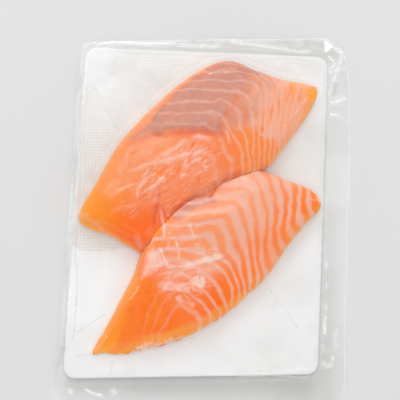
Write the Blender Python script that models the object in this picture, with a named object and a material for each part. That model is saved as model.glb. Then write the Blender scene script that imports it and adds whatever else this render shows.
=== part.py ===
"""A vacuum pack of two raw salmon portions, lying face up on their backing board.

Two skinless salmon portions lie side by side on a white foam board, and a clear pouch of two webs
of film is drawn down on to them and sealed flat all round. Everything is in metres, with +Z up,
+X across the pack and +Y along it. The origin is the middle of the rectangle that holds the pouch,
on the surface it lies on.
"""

import math

import bmesh
import bpy
import numpy as np

MM = 0.001

# ---- The pouch: two webs of film, sealed to each other round their edge ----
# Its four sides, in mm: drawn in close to the board on the left, with a cut corner at the top right.
POUCH_BOTTOM = ((-89.0, -117.0), (89.0, -117.0))
POUCH_RIGHT = ((89.0, -117.0), (89.0, 84.0), (84.0, 110.5))
POUCH_TOP = ((-79.0, 106.3), (73.5, 117.0), (84.0, 110.5))
POUCH_LEFT = ((-89.0, -117.0), (-88.2, -98.0), (-83.8, -76.0), (-79.0, 106.3))
POUCH_WIDTH = 178.0 * MM
POUCH_LENGTH = 234.0 * MM
POUCH_CORNER_RADIUS = 4.0 * MM
POUCH_CORNER_STEPS = 4
FILM_THICKNESS = 0.3 * MM
CLEARANCE = 0.3 * MM  # between any two pieces that touch
DRAPE_CLEARANCE = 0.95 * MM  # of the top web over its contents, before its faces are thinned out
DRAPE_PITCH = 1.75 * MM  # spacing of the grid that the top web is draped on
DRAPE_FACES_KEPT = 0.16  # share of the draped grid's faces that the top web keeps
SKIRT_WIDTH = 3.0 * MM  # how far outside the board the top web reaches the bottom web
EDGE_FALL = 2.4 * MM  # how far inside its edge the top web may leave the bottom web
TENT_RADIUS = 2.6 * MM  # how closely the stretched film follows a foot or a groove

# ---- The board, cut a little out of square ----
BOARD_CORNERS = tuple(
    (x * MM, y * MM)
    for x, y in ((-81.0, -96.8), (71.8, -91.0), (73.6, 104.4), (-76.0, 101.8))
)
BOARD_THICKNESS = 3.2 * MM
BOARD_CORNER_RADIUS = 7.0 * MM
BOARD_CORNER_STEPS = 6
BOARD_EDGE_BEVEL = 0.8 * MM
BOARD_BEVEL_SEGMENTS = 2
BEVELLED_ABOVE = math.radians(50.0)  # the angle between two faces from which their edge is bevelled
BOARD_BASE = FILM_THICKNESS + CLEARANCE
BOARD_TOP = BOARD_BASE + BOARD_THICKNESS

# ---- The salmon portions ----
PORTION_BASE = BOARD_TOP + CLEARANCE
PORTION_EDGE_HEIGHT = 0.5 * MM  # of the thin rim where a portion meets the board
PORTION_EDGE_POWER = 2.1  # of the superellipse that rounds a portion's sides
SEAM_GAP = 1.2 * MM  # between the portions, where they lie against each other
OUTLINE_POINTS = 92
CURVE_STEPS = 12  # points computed between two of an outline's control points
RING_DEPTHS = (0.0, 0.035, 0.09, 0.17, 0.28, 0.42, 0.58, 0.75)  # shares of the way to the spine

# The line along which the portions meet, from the notch below the upper one to its right-hand tip.
SEAM = tuple(
    (x * MM, y * MM)
    for x, y in (
        (-37.6, -21.0),
        (-33.0, -15.7),
        (-28.4, -7.2),
        (-20.6, 1.2),
        (-11.9, 9.1),
        (-5.0, 12.0),
        (0.6, 12.8),
        (4.6, 17.2),
        (8.7, 21.3),
        (14.0, 24.2),
        (19.9, 26.8),
        (26.5, 29.4),
        (33.0, 31.0),
    )
)

# Each portion's outline away from the seam. It runs clockwise, seen from above, from the seam's end
# to its start for the upper portion, and from its start to its end for the lower one.
UPPER_RIM = tuple(
    (x * MM, y * MM)
    for x, y in (
        (-46.5, -17.0),
        (-58.0, -11.6),
        (-70.0, -7.6),
        (-75.4, -3.4),
        (-74.6, 3.0),
        (-65.2, 21.3),
        (-54.2, 42.5),
        (-36.2, 64.6),
        (-15.6, 84.3),
        (2.4, 95.6),
        (13.0, 97.6),
        (29.0, 92.4),
        (47.0, 87.6),
        (60.5, 86.0),
        (66.6, 83.6),
        (66.0, 77.0),
        (61.2, 66.8),
        (46.0, 44.4),
        (38.0, 34.0),
    )
)
LOWER_RIM = tuple(
    (x * MM, y * MM)
    for x, y in (
        (42.0, 28.6),
        (51.5, 25.0),
        (61.0, 22.2),
        (67.6, 18.2),
        (71.0, 12.0),
        (61.2, -0.8),
        (51.8, -12.6),
        (39.2, -32.0),
        (28.2, -43.4),
        (15.2, -55.2),
        (-1.4, -66.0),
        (-18.6, -74.2),
        (-34.0, -78.0),
        (-48.0, -81.6),
        (-57.0, -81.2),
        (-63.8, -81.4),
        (-62.6, -77.0),
        (-56.8, -66.6),
        (-48.8, -49.4),
        (-41.8, -34.4),
    )
)

# A swell adds its height round a centre, falling off over its spread: (x, y, height, spread) in mm.
UPPER_PLATEAU = 10.0 * MM
UPPER_SWELLS = (
    (6.0, 55.0, 6.0, 26.0),
    (-26.0, 28.0, 3.2, 20.0),
    (-58.0, 4.0, 1.2, 12.0),
    (62.0, 80.0, -4.6, 17.0),
    (-33.0, 0.0, -3.4, 8.0),
)
LOWER_PLATEAU = 9.5 * MM
LOWER_SWELLS = (
    (-8.0, -12.0, 6.2, 22.0),
    (26.0, 8.0, 3.6, 18.0),
    (-60.0, -78.0, -4.6, 18.0),
    (70.0, 12.0, -3.2, 12.0),
    (-22.0, -52.0, 1.4, 16.0),
)
UPPER_SPINE = ((-54.0 * MM, 8.0 * MM), (44.0 * MM, 74.0 * MM))
LOWER_SPINE = ((-44.0 * MM, -64.0 * MM), (52.0 * MM, 9.0 * MM))
UPPER_EDGE_RADIUS = 10.5 * MM
LOWER_EDGE_RADIUS = 9.5 * MM


def clear_scene():
    """Removes every object that the scene starts with."""
    for obj in list(bpy.data.objects):
        bpy.data.objects.remove(obj)


def principled(name, colour, roughness, alpha=1.0, subsurface=0.0):
    """A material with one Principled BSDF."""
    material = bpy.data.materials.new(name)
    material.use_nodes = True
    shader = material.node_tree.nodes["Principled BSDF"]
    shader.inputs["Base Color"].default_value = (*colour, 1.0)
    shader.inputs["Roughness"].default_value = roughness
    shader.inputs["Metallic"].default_value = 0.0
    shader.inputs["Alpha"].default_value = alpha
    shader.inputs["Subsurface Weight"].default_value = subsurface
    return material


def object_from(name, mesh_data, material):
    """Links a new object of this bmesh to the scene, with one material."""
    mesh = bpy.data.meshes.new(name)
    mesh_data.to_mesh(mesh)
    mesh_data.free()
    mesh.materials.append(material)
    obj = bpy.data.objects.new(name, mesh)
    bpy.context.scene.collection.objects.link(obj)
    return obj


def along_curve(points, count):
    """count points, evenly spaced along a closed centripetal Catmull-Rom curve through points."""
    corners = np.array(points)
    dense = []
    for i in range(len(corners)):
        p0, p1, p2, p3 = (corners[(i + k) % len(corners)] for k in (-1, 0, 1, 2))
        knots = [0.0]
        for a, b in ((p0, p1), (p1, p2), (p2, p3)):
            knots.append(knots[-1] + math.sqrt(np.linalg.norm(b - a)))
        k0, k1, k2, k3 = knots
        for t in np.linspace(k1, k2, CURVE_STEPS, endpoint=False):
            a1 = (k1 - t) / (k1 - k0) * p0 + (t - k0) / (k1 - k0) * p1
            a2 = (k2 - t) / (k2 - k1) * p1 + (t - k1) / (k2 - k1) * p2
            a3 = (k3 - t) / (k3 - k2) * p2 + (t - k2) / (k3 - k2) * p3
            b1 = (k2 - t) / (k2 - k0) * a1 + (t - k0) / (k2 - k0) * a2
            b2 = (k3 - t) / (k3 - k1) * a2 + (t - k1) / (k3 - k1) * a3
            dense.append((k2 - t) / (k2 - k1) * b1 + (t - k1) / (k2 - k1) * b2)
    closed = np.vstack([dense, dense[:1]])
    reach = np.concatenate([[0.0], np.cumsum(np.linalg.norm(np.diff(closed, axis=0), axis=1))])
    wanted = np.linspace(0.0, reach[-1], count, endpoint=False)
    return np.stack([np.interp(wanted, reach, closed[:, k]) for k in (0, 1)], axis=1)


def shifted_seam(offset):
    """The seam's points, moved sideways by offset: to the upper portion's side if it is positive."""
    line = np.array(SEAM)
    ahead = np.gradient(line, axis=0)
    ahead /= np.linalg.norm(ahead, axis=1)[:, None]
    return line + offset * np.stack([-ahead[:, 1], ahead[:, 0]], axis=1)


def depth_inside(outline, points):
    """How far inside a closed outline each point lies, and negative outside it."""
    ends = np.roll(outline, -1, axis=0)
    spans = ends - outline
    nearest = np.full(len(points), np.inf)
    inside = np.zeros(len(points), bool)
    for start, end, span in zip(outline, ends, spans):
        share = np.clip((points - start) @ span / (span @ span), 0.0, 1.0)
        gaps = np.linalg.norm(points - start - share[:, None] * span, axis=1)
        nearest = np.minimum(nearest, gaps)
        crossing = (start[1] > points[:, 1]) != (end[1] > points[:, 1])
        rise = span[1] if abs(span[1]) > 1e-12 else 1e-12
        inside ^= crossing & (points[:, 0] < start[0] + (points[:, 1] - start[1]) / rise * span[0])
    return np.where(inside, nearest, -nearest)


class Portion:
    """One portion of salmon: an outline, and a height above the board at each point inside it."""

    def __init__(self, name, outline, spine, plateau, swells, edge_radius):
        self.name = name
        self.outline = along_curve(outline, OUTLINE_POINTS)
        self.spine = np.array(spine)
        self.plateau = plateau
        self.swells = swells
        self.edge_radius = edge_radius

    def thickness(self, points):
        """The thickness at each point, leaving its rounded sides out."""
        total = np.full(len(points), self.plateau)
        for x, y, height, spread in self.swells:
            away = np.sum((points - np.array((x, y)) * MM) ** 2, axis=1)
            total += height * MM * np.exp(-away / (2.0 * (spread * MM) ** 2))
        return total

    def top(self, points):
        """The height of its top surface at each point, or the board's top where it isn't."""
        depth = depth_inside(self.outline, points)
        share = np.clip(depth / self.edge_radius, 0.0, 1.0)
        rounded = (1.0 - (1.0 - share) ** PORTION_EDGE_POWER) ** (1.0 / PORTION_EDGE_POWER)
        height = PORTION_EDGE_HEIGHT + (self.thickness(points) - PORTION_EDGE_HEIGHT) * rounded
        return np.where(depth >= 0.0, PORTION_BASE + height, BOARD_TOP)

    def rings(self):
        """Closed rings of points that step from the outline towards the spine, with their heights."""
        start, end = self.spine
        run = end - start
        share = np.clip((self.outline - start) @ run / (run @ run), 0.0, 1.0)
        target = start + share[:, None] * run
        for depth in RING_DEPTHS:
            flat = self.outline + (target - self.outline) * depth
            # The outline's own points lie on its edge, where inside and outside can't be told apart.
            heights = self.top(flat) if depth else np.full(len(flat), PORTION_BASE + PORTION_EDGE_HEIGHT)
            yield np.column_stack([flat, heights])

    def build(self, material):
        """The closed solid: a flat base, a thin rim and the rounded top."""
        mesh_data = bmesh.new()
        foot = [mesh_data.verts.new((x, y, PORTION_BASE)) for x, y in self.outline]
        loops = [foot]
        for ring in self.rings():
            loops.append([mesh_data.verts.new(point) for point in ring])
        count = len(foot)
        for lower, upper in zip(loops, loops[1:]):
            for i in range(count):
                j = (i + 1) % count
                mesh_data.faces.new((lower[i], lower[j], upper[j], upper[i]))
        mesh_data.faces.new(foot[::-1])
        top = mesh_data.faces.new(loops[-1])
        bmesh.ops.triangulate(mesh_data, faces=[top])
        bmesh.ops.recalc_face_normals(mesh_data, faces=mesh_data.faces)
        obj = object_from(self.name, mesh_data, material)
        obj.data.shade_smooth()
        return obj


def rounded_corners(corners, radius, steps):
    """The points of a polygon whose corners are rounded by arcs."""
    corners = [np.array(c) for c in corners]
    points = []
    for i, corner in enumerate(corners):
        to_last = corners[i - 1] - corner
        to_next = corners[(i + 1) % len(corners)] - corner
        to_last /= np.linalg.norm(to_last)
        to_next /= np.linalg.norm(to_next)
        half_angle = math.acos(np.clip(to_last @ to_next, -1.0, 1.0)) / 2.0
        middle = (to_last + to_next) / np.linalg.norm(to_last + to_next)
        centre = corner + middle * radius / math.sin(half_angle)
        first = corner + to_last * radius / math.tan(half_angle) - centre
        last = corner + to_next * radius / math.tan(half_angle) - centre
        sweep = math.acos(np.clip(first @ last / radius**2, -1.0, 1.0))
        for step in range(steps + 1):
            share = step / steps
            blend = math.sin((1.0 - share) * sweep) * first + math.sin(share * sweep) * last
            points.append(centre + blend / math.sin(sweep))
    return points


def build_plate(name, outline, base, thickness, material):
    """A flat plate: the outline's face, extruded upwards."""
    mesh_data = bmesh.new()
    face = mesh_data.faces.new([mesh_data.verts.new((x, y, base)) for x, y in outline])
    raised = bmesh.ops.extrude_face_region(mesh_data, geom=[face])
    top = [v for v in raised["geom"] if isinstance(v, bmesh.types.BMVert)]
    bmesh.ops.translate(mesh_data, verts=top, vec=(0.0, 0.0, thickness))
    bmesh.ops.recalc_face_normals(mesh_data, faces=mesh_data.faces)
    return object_from(name, mesh_data, material)


def build_board(material):
    """The backing board, with rounded corners and softened edges."""
    outline = rounded_corners(BOARD_CORNERS, BOARD_CORNER_RADIUS, BOARD_CORNER_STEPS)
    board = build_plate("board", outline, BOARD_BASE, BOARD_THICKNESS, material)
    bevel = board.modifiers.new("softened_edge", "BEVEL")
    bevel.width = BOARD_EDGE_BEVEL
    bevel.segments = BOARD_BEVEL_SEGMENTS
    bevel.limit_method = "ANGLE"
    bevel.angle_limit = BEVELLED_ABOVE
    return board


def pouch_outline():
    """The outline of both webs of film."""
    loop = (*POUCH_BOTTOM[:-1], *POUCH_RIGHT[:-1], *POUCH_TOP[:0:-1], *POUCH_LEFT[:0:-1])
    corners = [(x * MM, y * MM) for x, y in loop]
    return rounded_corners(corners, POUCH_CORNER_RADIUS, POUCH_CORNER_STEPS)


def along_side(side, count):
    """count + 1 points, evenly spaced along one side of the pouch."""
    line = np.array(side) * MM
    reach = np.concatenate([[0.0], np.cumsum(np.linalg.norm(np.diff(line, axis=0), axis=1))])
    wanted = np.linspace(0.0, reach[-1], count + 1)
    return np.stack([np.interp(wanted, reach, line[:, k]) for k in (0, 1)], axis=1)


def pouch_grid(columns, rows):
    """A grid of points over the whole pouch, blended between its four sides."""
    low, high = along_side(POUCH_BOTTOM, columns), along_side(POUCH_TOP, columns)
    left, right = along_side(POUCH_LEFT, rows), along_side(POUCH_RIGHT, rows)
    u = np.linspace(0.0, 1.0, columns + 1)[:, None, None]
    v = np.linspace(0.0, 1.0, rows + 1)[None, :, None]
    across = (1.0 - u) * left[None] + u * right[None]
    along = (1.0 - v) * low[:, None] + v * high[:, None]
    from_low = (1.0 - v) * ((1.0 - u) * low[0] + u * low[-1])
    from_high = v * ((1.0 - u) * high[0] + u * high[-1])
    return across + along - from_low - from_high


def build_bottom_web(material):
    """The flat web of film under the board. It is what the pack lies on."""
    return build_plate("film_bottom", pouch_outline(), 0.0, FILM_THICKNESS, material)


def blurred(heights, radius):
    """The grid of heights, averaged over a disc-like neighbourhood of about this radius."""
    steps = max(1, round(radius / DRAPE_PITCH))
    for _ in range(2):
        for axis in (0, 1):
            padded = np.pad(heights, [(steps, steps) if a == axis else (0, 0) for a in (0, 1)], mode="edge")
            shifts = [np.take(padded, range(k, k + heights.shape[axis]), axis) for k in range(2 * steps + 1)]
            heights = np.mean(shifts, axis=0)
    return heights


def draped_heights(plan, portions):
    """The underside of the top web on a grid: drawn down on to the portions, the board and the rim."""
    grid = plan.reshape(-1, 2)
    board = np.array(rounded_corners(BOARD_CORNERS, BOARD_CORNER_RADIUS, BOARD_CORNER_STEPS))
    outside = np.clip(-depth_inside(board, grid) - CLEARANCE, 0.0, SKIRT_WIDTH) / SKIRT_WIDTH
    seal_height = FILM_THICKNESS + CLEARANCE
    skirt = 0.5 + 0.5 * np.cos(math.pi * outside)
    contents = seal_height + (BOARD_TOP + DRAPE_CLEARANCE - seal_height) * skirt
    for portion in portions:
        inside = depth_inside(portion.outline, grid) > -DRAPE_PITCH
        tops = portion.top(grid)
        contents = np.where(inside, np.maximum(contents, tops + DRAPE_CLEARANCE), contents)
    contents = contents.reshape(plan.shape[:2])
    # The film touches what is highest near each point, and is averaged where it bridges a foot.
    spread = contents.copy()
    for dx in (-1, 0, 1):
        for dy in (-1, 0, 1):
            spread = np.maximum(spread, np.roll(contents, (dx, dy), (0, 1)))
    heights = np.maximum(contents, blurred(spread, TENT_RADIUS))
    # It is sealed to the bottom web all along its own edge.
    depth = depth_inside(np.array(pouch_outline()), grid).reshape(plan.shape[:2])
    rise = 0.5 - 0.5 * np.cos(math.pi * np.clip(depth / EDGE_FALL, 0.0, 1.0))
    return seal_height + (heights - seal_height) * rise


def build_top_web(portions, material):
    """The web of film over the portions: a draped grid with its spare faces thinned out."""
    columns = round(POUCH_WIDTH / DRAPE_PITCH)
    rows = round(POUCH_LENGTH / DRAPE_PITCH)
    plan = pouch_grid(columns, rows)
    heights = draped_heights(plan, portions)
    mesh_data = bmesh.new()
    verts = [
        [mesh_data.verts.new((*plan[i, j], heights[i, j])) for j in range(rows + 1)]
        for i in range(columns + 1)
    ]
    for i in range(columns):
        for j in range(rows):
            corners = (verts[i][j], verts[i + 1][j], verts[i + 1][j + 1], verts[i][j + 1])
            mesh_data.faces.new(corners)
    web = object_from("film_top", mesh_data, material)
    thin_out = web.modifiers.new("thin_out", "DECIMATE")
    thin_out.ratio = DRAPE_FACES_KEPT
    thicken = web.modifiers.new("film_thickness", "SOLIDIFY")
    thicken.thickness = FILM_THICKNESS
    thicken.offset = 1.0
    web.data.shade_smooth()
    return web


def main():
    """Builds the pack: board, portions and both webs of the pouch."""
    clear_scene()
    flesh = principled("raw_salmon", (0.90, 0.27, 0.07), 0.35, subsurface=0.2)
    flesh_pale = principled("raw_salmon_marbled", (0.92, 0.38, 0.17), 0.35, subsurface=0.2)
    foam = principled("white_foam_board", (0.86, 0.86, 0.84), 0.6)
    film = principled("clear_film", (0.95, 0.96, 0.97), 0.08, alpha=0.15)

    upper_outline = (*shifted_seam(SEAM_GAP / 2.0)[::-1], *UPPER_RIM)
    lower_outline = (*shifted_seam(-SEAM_GAP / 2.0), *LOWER_RIM)
    upper = Portion(
        "salmon_upper", upper_outline, UPPER_SPINE, UPPER_PLATEAU, UPPER_SWELLS, UPPER_EDGE_RADIUS
    )
    lower = Portion(
        "salmon_lower", lower_outline, LOWER_SPINE, LOWER_PLATEAU, LOWER_SWELLS, LOWER_EDGE_RADIUS
    )

    build_bottom_web(film)
    build_board(foam)
    upper.build(flesh)
    lower.build(flesh_pale)
    build_top_web((upper, lower), film)


main()
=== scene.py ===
"""Dresses a vacuum pack of two raw salmon portions: marbled flesh, a dimpled board and clear film.

Everything is in metres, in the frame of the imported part: +X across the pack, +Y along it, +Z up, with
the middle of the pouch at the origin. Lengths in the tables below are in millimetres, through MM.
"""

from __future__ import annotations

import logging
import math
from collections.abc import Iterable
from dataclasses import dataclass, field
from enum import Enum

import bpy
import numpy as np
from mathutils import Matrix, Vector
from mathutils.geometry import delaunay_2d_cdt

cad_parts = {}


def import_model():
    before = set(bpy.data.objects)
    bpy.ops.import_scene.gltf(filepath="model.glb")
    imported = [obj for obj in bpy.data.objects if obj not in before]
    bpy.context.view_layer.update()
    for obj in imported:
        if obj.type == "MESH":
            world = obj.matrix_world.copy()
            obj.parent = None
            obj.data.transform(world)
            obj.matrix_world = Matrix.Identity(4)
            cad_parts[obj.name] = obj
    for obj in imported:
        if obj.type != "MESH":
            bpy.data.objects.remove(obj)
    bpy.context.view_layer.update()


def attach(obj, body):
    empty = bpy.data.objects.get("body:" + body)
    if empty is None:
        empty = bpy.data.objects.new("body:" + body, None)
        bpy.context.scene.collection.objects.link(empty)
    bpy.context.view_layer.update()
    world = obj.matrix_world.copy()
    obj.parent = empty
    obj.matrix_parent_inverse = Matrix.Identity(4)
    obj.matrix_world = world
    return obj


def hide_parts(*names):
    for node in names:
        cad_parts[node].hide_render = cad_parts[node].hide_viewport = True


log = logging.getLogger("salmon_pack")

MM = 0.001
BODY = "root"

# x and y of each point in turn, in millimetres
Points = tuple[float, ...]
Socket = bpy.types.NodeSocket
Sockets = bpy.types.bpy_prop_collection


# ---------------------------------------------------------------- arithmetic on points and grids


def srgb(red: int, green: int, blue: int) -> tuple[float, float, float, float]:
    """Turns a colour of 0 to 255 a channel into linear light.

    Args:
        red: The red channel.
        green: The green channel.
        blue: The blue channel.

    Returns:
        The linear colour with full alpha.
    """
    channels = []
    for value in (red, green, blue):
        share = value / 255.0
        channels.append(share / 12.92 if share <= 0.04045 else ((share + 0.055) / 1.055) ** 2.4)
    return (*channels, 1.0)


def smooth(low: float, high: float, values: np.ndarray) -> np.ndarray:
    """Rises smoothly from 0 where a value is low to 1 where it is high."""
    share = np.clip((values - low) / (high - low), 0.0, 1.0)
    return share * share * (3.0 - 2.0 * share)


def closed_curve(points: np.ndarray, count: int) -> np.ndarray:
    """Spaces points evenly along a closed centripetal Catmull-Rom curve.

    Args:
        points: The curve's control points.
        count: How many points to return.

    Returns:
        An array of count points.
    """
    dense = []
    for i in range(len(points)):
        p0, p1, p2, p3 = (points[(i + k) % len(points)] for k in (-1, 0, 1, 2))
        knots = [0.0]
        for a, b in ((p0, p1), (p1, p2), (p2, p3)):
            knots.append(knots[-1] + math.sqrt(np.linalg.norm(b - a)))
        k0, k1, k2, k3 = knots
        for t in np.linspace(k1, k2, 24, endpoint=False):
            a1 = (k1 - t) / (k1 - k0) * p0 + (t - k0) / (k1 - k0) * p1
            a2 = (k2 - t) / (k2 - k1) * p1 + (t - k1) / (k2 - k1) * p2
            a3 = (k3 - t) / (k3 - k2) * p2 + (t - k2) / (k3 - k2) * p3
            b1 = (k2 - t) / (k2 - k0) * a1 + (t - k0) / (k2 - k0) * a2
            b2 = (k3 - t) / (k3 - k1) * a2 + (t - k1) / (k3 - k1) * a3
            dense.append((k2 - t) / (k2 - k1) * b1 + (t - k1) / (k2 - k1) * b2)
    closed = np.vstack([dense, dense[:1]])
    reach = np.concatenate([[0.0], np.cumsum(np.linalg.norm(np.diff(closed, axis=0), axis=1))])
    wanted = np.linspace(0.0, reach[-1], count, endpoint=False)
    return np.stack([np.interp(wanted, reach, closed[:, k]) for k in (0, 1)], axis=1)


def open_curve(points: np.ndarray) -> np.ndarray:
    """Smooths an open line through its points.

    Args:
        points: The line's points.

    Returns:
        A denser line through the same points.
    """
    if len(points) < 3:
        return points
    padded = np.vstack([2 * points[0] - points[1], points, 2 * points[-1] - points[-2]])
    t = np.linspace(0.0, 1.0, 5, endpoint=False)[:, None]
    pieces = []
    for p0, p1, p2, p3 in zip(padded, padded[1:], padded[2:], padded[3:]):
        bend = (2 * p0 - 5 * p1 + 4 * p2 - p3) * t**2 + (3 * p1 - p0 - 3 * p2 + p3) * t**3
        pieces.append(p1 + 0.5 * ((p2 - p0) * t + bend))
    return np.vstack([*pieces, points[-1:]])


def depth_inside(outline: np.ndarray, points: np.ndarray) -> np.ndarray:
    """Measures how far inside a closed outline each point lies.

    Args:
        outline: The outline's points, in order.
        points: The points to measure.

    Returns:
        The distance to the outline, negative outside it.
    """
    ends = np.roll(outline, -1, axis=0)
    nearest = np.full(len(points), np.inf)
    inside = np.zeros(len(points), bool)
    for start, end in zip(outline, ends):
        span = end - start
        share = np.clip((points - start) @ span / max(span @ span, 1e-18), 0.0, 1.0)
        gap = points - start - share[:, None] * span
        nearest = np.minimum(nearest, np.einsum("ij,ij->i", gap, gap))
        rise = span[1] if abs(span[1]) > 1e-12 else 1e-12
        crossing = (start[1] > points[:, 1]) != (end[1] > points[:, 1])
        inside ^= crossing & (points[:, 0] < start[0] + (points[:, 1] - start[1]) / rise * span[0])
    nearest = np.sqrt(nearest)
    return np.where(inside, nearest, -nearest)


def off_line(line: np.ndarray, points: np.ndarray) -> tuple[np.ndarray, np.ndarray]:
    """Measures points against an open line.

    Args:
        line: The line's points, in order.
        points: The points to measure.

    Returns:
        Each point's distance from the line, and how far along it the nearest place is, from 0 to 1.
    """
    lengths = np.linalg.norm(np.diff(line, axis=0), axis=1)
    reach = np.concatenate([[0.0], np.cumsum(lengths)])
    nearest = np.full(len(points), np.inf)
    along = np.zeros(len(points))
    for i, (start, end) in enumerate(zip(line, line[1:])):
        span = end - start
        share = np.clip((points - start) @ span / max(span @ span, 1e-18), 0.0, 1.0)
        gap = np.linalg.norm(points - start - share[:, None] * span, axis=1)
        closer = gap < nearest
        nearest = np.where(closer, gap, nearest)
        along = np.where(closer, (reach[i] + share * lengths[i]) / reach[-1], along)
    return nearest, along


def lattice_cells(places: np.ndarray, seed: int) -> tuple[list[np.ndarray], np.ndarray]:
    """Looks up random values at the corners of each place's cell in a lattice of step 1.

    Args:
        places: The places.
        seed: The seed of the random values.

    Returns:
        The values at the near, right, upper and far corners, and where each place is in its cell.
    """
    size = 256
    table = np.random.default_rng(seed).uniform(-1.0, 1.0, (size, size))
    cell = np.floor(places).astype(int)
    i, j = cell.T
    steps = ((0, 0), (1, 0), (0, 1), (1, 1))
    return [table[(i + a) % size, (j + b) % size] for a, b in steps], places - cell


def lattice_noise(points: np.ndarray, pitch: float, seed: int) -> np.ndarray:
    """Smooth random values over the plane.

    Args:
        points: Where to read the noise.
        pitch: The spacing of its lattice.
        seed: The seed of its random values.

    Returns:
        Values from -1 to 1.
    """
    (near, right, upper, far), part = lattice_cells(points / pitch, seed)
    u, v = (part * part * (3.0 - 2.0 * part)).T
    low = near * (1 - u) + right * u
    high = upper * (1 - u) + far * u
    return low * (1 - v) + high * v


def facet_noise(points: np.ndarray, pitch: float, angle: float, seed: int) -> np.ndarray:
    """Random flat facets that meet at sharp creases, as in crumpled film.

    Args:
        points: Where to read the noise.
        pitch: The size of a facet.
        angle: How far the facets' lattice is turned, in degrees.
        seed: The seed of its random values.

    Returns:
        Values from -1 to 1.
    """
    (near, right, upper, far), part = lattice_cells(turned(points, angle) / pitch, seed)
    u, v = part.T
    lower_half = near * (1 - u) + right * (u - v) + far * v
    upper_half = near * (1 - v) + upper * (v - u) + far * u
    return np.where(u > v, lower_half, upper_half)


def turned(points: np.ndarray, angle: float) -> np.ndarray:
    """Points as measured along and across a direction.

    Args:
        points: The points.
        angle: The direction, in degrees from the X axis.

    Returns:
        How far along the direction and how far across it each point lies.
    """
    turn = math.radians(angle)
    along = points[:, 0] * math.cos(turn) + points[:, 1] * math.sin(turn)
    across = points[:, 1] * math.cos(turn) - points[:, 0] * math.sin(turn)
    return np.stack([along, across], axis=1)


def blurred(heights: np.ndarray, steps: int) -> np.ndarray:
    """Averages a grid over a neighbourhood.

    Args:
        heights: The grid.
        steps: The neighbourhood's reach, in grid steps.

    Returns:
        The averaged grid.
    """
    for _ in range(2):
        for axis in (0, 1):
            pads = [(steps, steps) if a == axis else (0, 0) for a in (0, 1)]
            padded = np.pad(heights, pads, mode="edge")
            total = np.zeros_like(heights)
            for k in range(2 * steps + 1):
                total += np.take(padded, range(k, k + heights.shape[axis]), axis)
            heights = total / (2 * steps + 1)
    return heights


def widened(heights: np.ndarray, steps: int) -> np.ndarray:
    """Takes the highest value near each place of a grid.

    Args:
        heights: The grid.
        steps: The neighbourhood's reach, in grid steps.

    Returns:
        The widened grid.
    """
    best = heights.copy()
    for dx in range(-steps, steps + 1):
        for dy in range(-steps, steps + 1):
            best = np.maximum(best, np.roll(heights, (dx, dy), (0, 1)))
    return best


def strongest(shares: Iterable[np.ndarray], count: int) -> np.ndarray:
    """The highest of several values at each point.

    Args:
        shares: The values, an array for each of them.
        count: How many points there are.

    Returns:
        The highest values, and 0 where there are none.
    """
    highest = np.zeros(count)
    for share in shares:
        highest = np.maximum(highest, share)
    return highest


def pairs(numbers: Points) -> np.ndarray:
    """The points of a table, still in millimetres."""
    return np.reshape(np.array(numbers, float), (-1, 2))


def shape_points(numbers: Points | np.ndarray) -> np.ndarray:
    """Turns a table of millimetres into an array of points in metres."""
    return pairs(numbers) * MM


def spaced(line: np.ndarray, shares: np.ndarray) -> np.ndarray:
    """The points that lie at given shares, from 0 to 1, of a line's length."""
    reach = np.concatenate([[0.0], np.cumsum(np.linalg.norm(np.diff(line, axis=0), axis=1))])
    return np.stack([np.interp(shares * reach[-1], reach, line[:, axis]) for axis in (0, 1)], axis=1)


# ---------------------------------------------------------------- building blocks of the patterns


@dataclass(frozen=True)
class Swell:
    """A soft rise or dip round a centre. Lengths are in millimetres.

    Args:
        x: The centre across the pack.
        y: The centre along the pack.
        height: The height at the centre.
        spread: How wide it is.
    """

    x: float
    y: float
    height: float
    spread: float

    def at(self, points: np.ndarray) -> np.ndarray:
        """The swell's height at each point, in metres."""
        away = np.sum((points - np.array((self.x, self.y)) * MM) ** 2, axis=1)
        return self.height * MM * np.exp(-away / (2.0 * (self.spread * MM) ** 2))


@dataclass(frozen=True)
class Gradation:
    """A value that changes gently over a surface, stated at a few places.

    Args:
        places: x, y and the value at each place in turn, with x and y in millimetres.
        spread: How far a place's value reaches, in millimetres.
    """

    places: tuple[float, ...]
    spread: float = 12.0

    def at(self, points: np.ndarray) -> np.ndarray:
        """The value at each point.

        Args:
            points: Where to read it, in metres.

        Returns:
            The values.
        """
        total = np.zeros(len(points))
        weights = np.full(len(points), 1e-9)
        for x, y, value in np.reshape(np.array(self.places, float), (-1, 3)):
            away = np.sum((points - np.array((x, y)) * MM) ** 2, axis=1)
            weight = np.exp(-away / (2.0 * (self.spread * MM) ** 2)) + 1e-7
            total += weight * value
            weights += weight
        return total / weights


@dataclass(frozen=True)
class Patch:
    """A patch of another colour or level, with a soft or ragged edge. Lengths are in millimetres.

    Args:
        outline: The patch's outline.
        softness: How gently the edge fades.
        raggedness: How far the edge wanders.
        grain: The size of its wandering.
        strength: How strong the patch is, from 0 to 1.
        seed: The seed of the wandering.
    """

    outline: Points
    softness: float = 1.0
    raggedness: float = 0.0
    grain: float = 3.0
    strength: float = 1.0
    seed: int = 1

    def at(self, points: np.ndarray) -> np.ndarray:
        """The patch's strength at each point.

        Args:
            points: Where to read it, in metres.

        Returns:
            Values from 0 to the patch's strength.
        """
        depth = depth_inside(closed_curve(shape_points(self.outline), 72), points)
        if self.raggedness:
            wander = lattice_noise(points, self.grain * MM, self.seed)
            wander += 0.5 * lattice_noise(points, self.grain * MM * 0.45, self.seed + 1)
            depth = depth + self.raggedness * MM * wander
        return self.strength * smooth(-self.softness * MM, self.softness * MM, depth)


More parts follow.
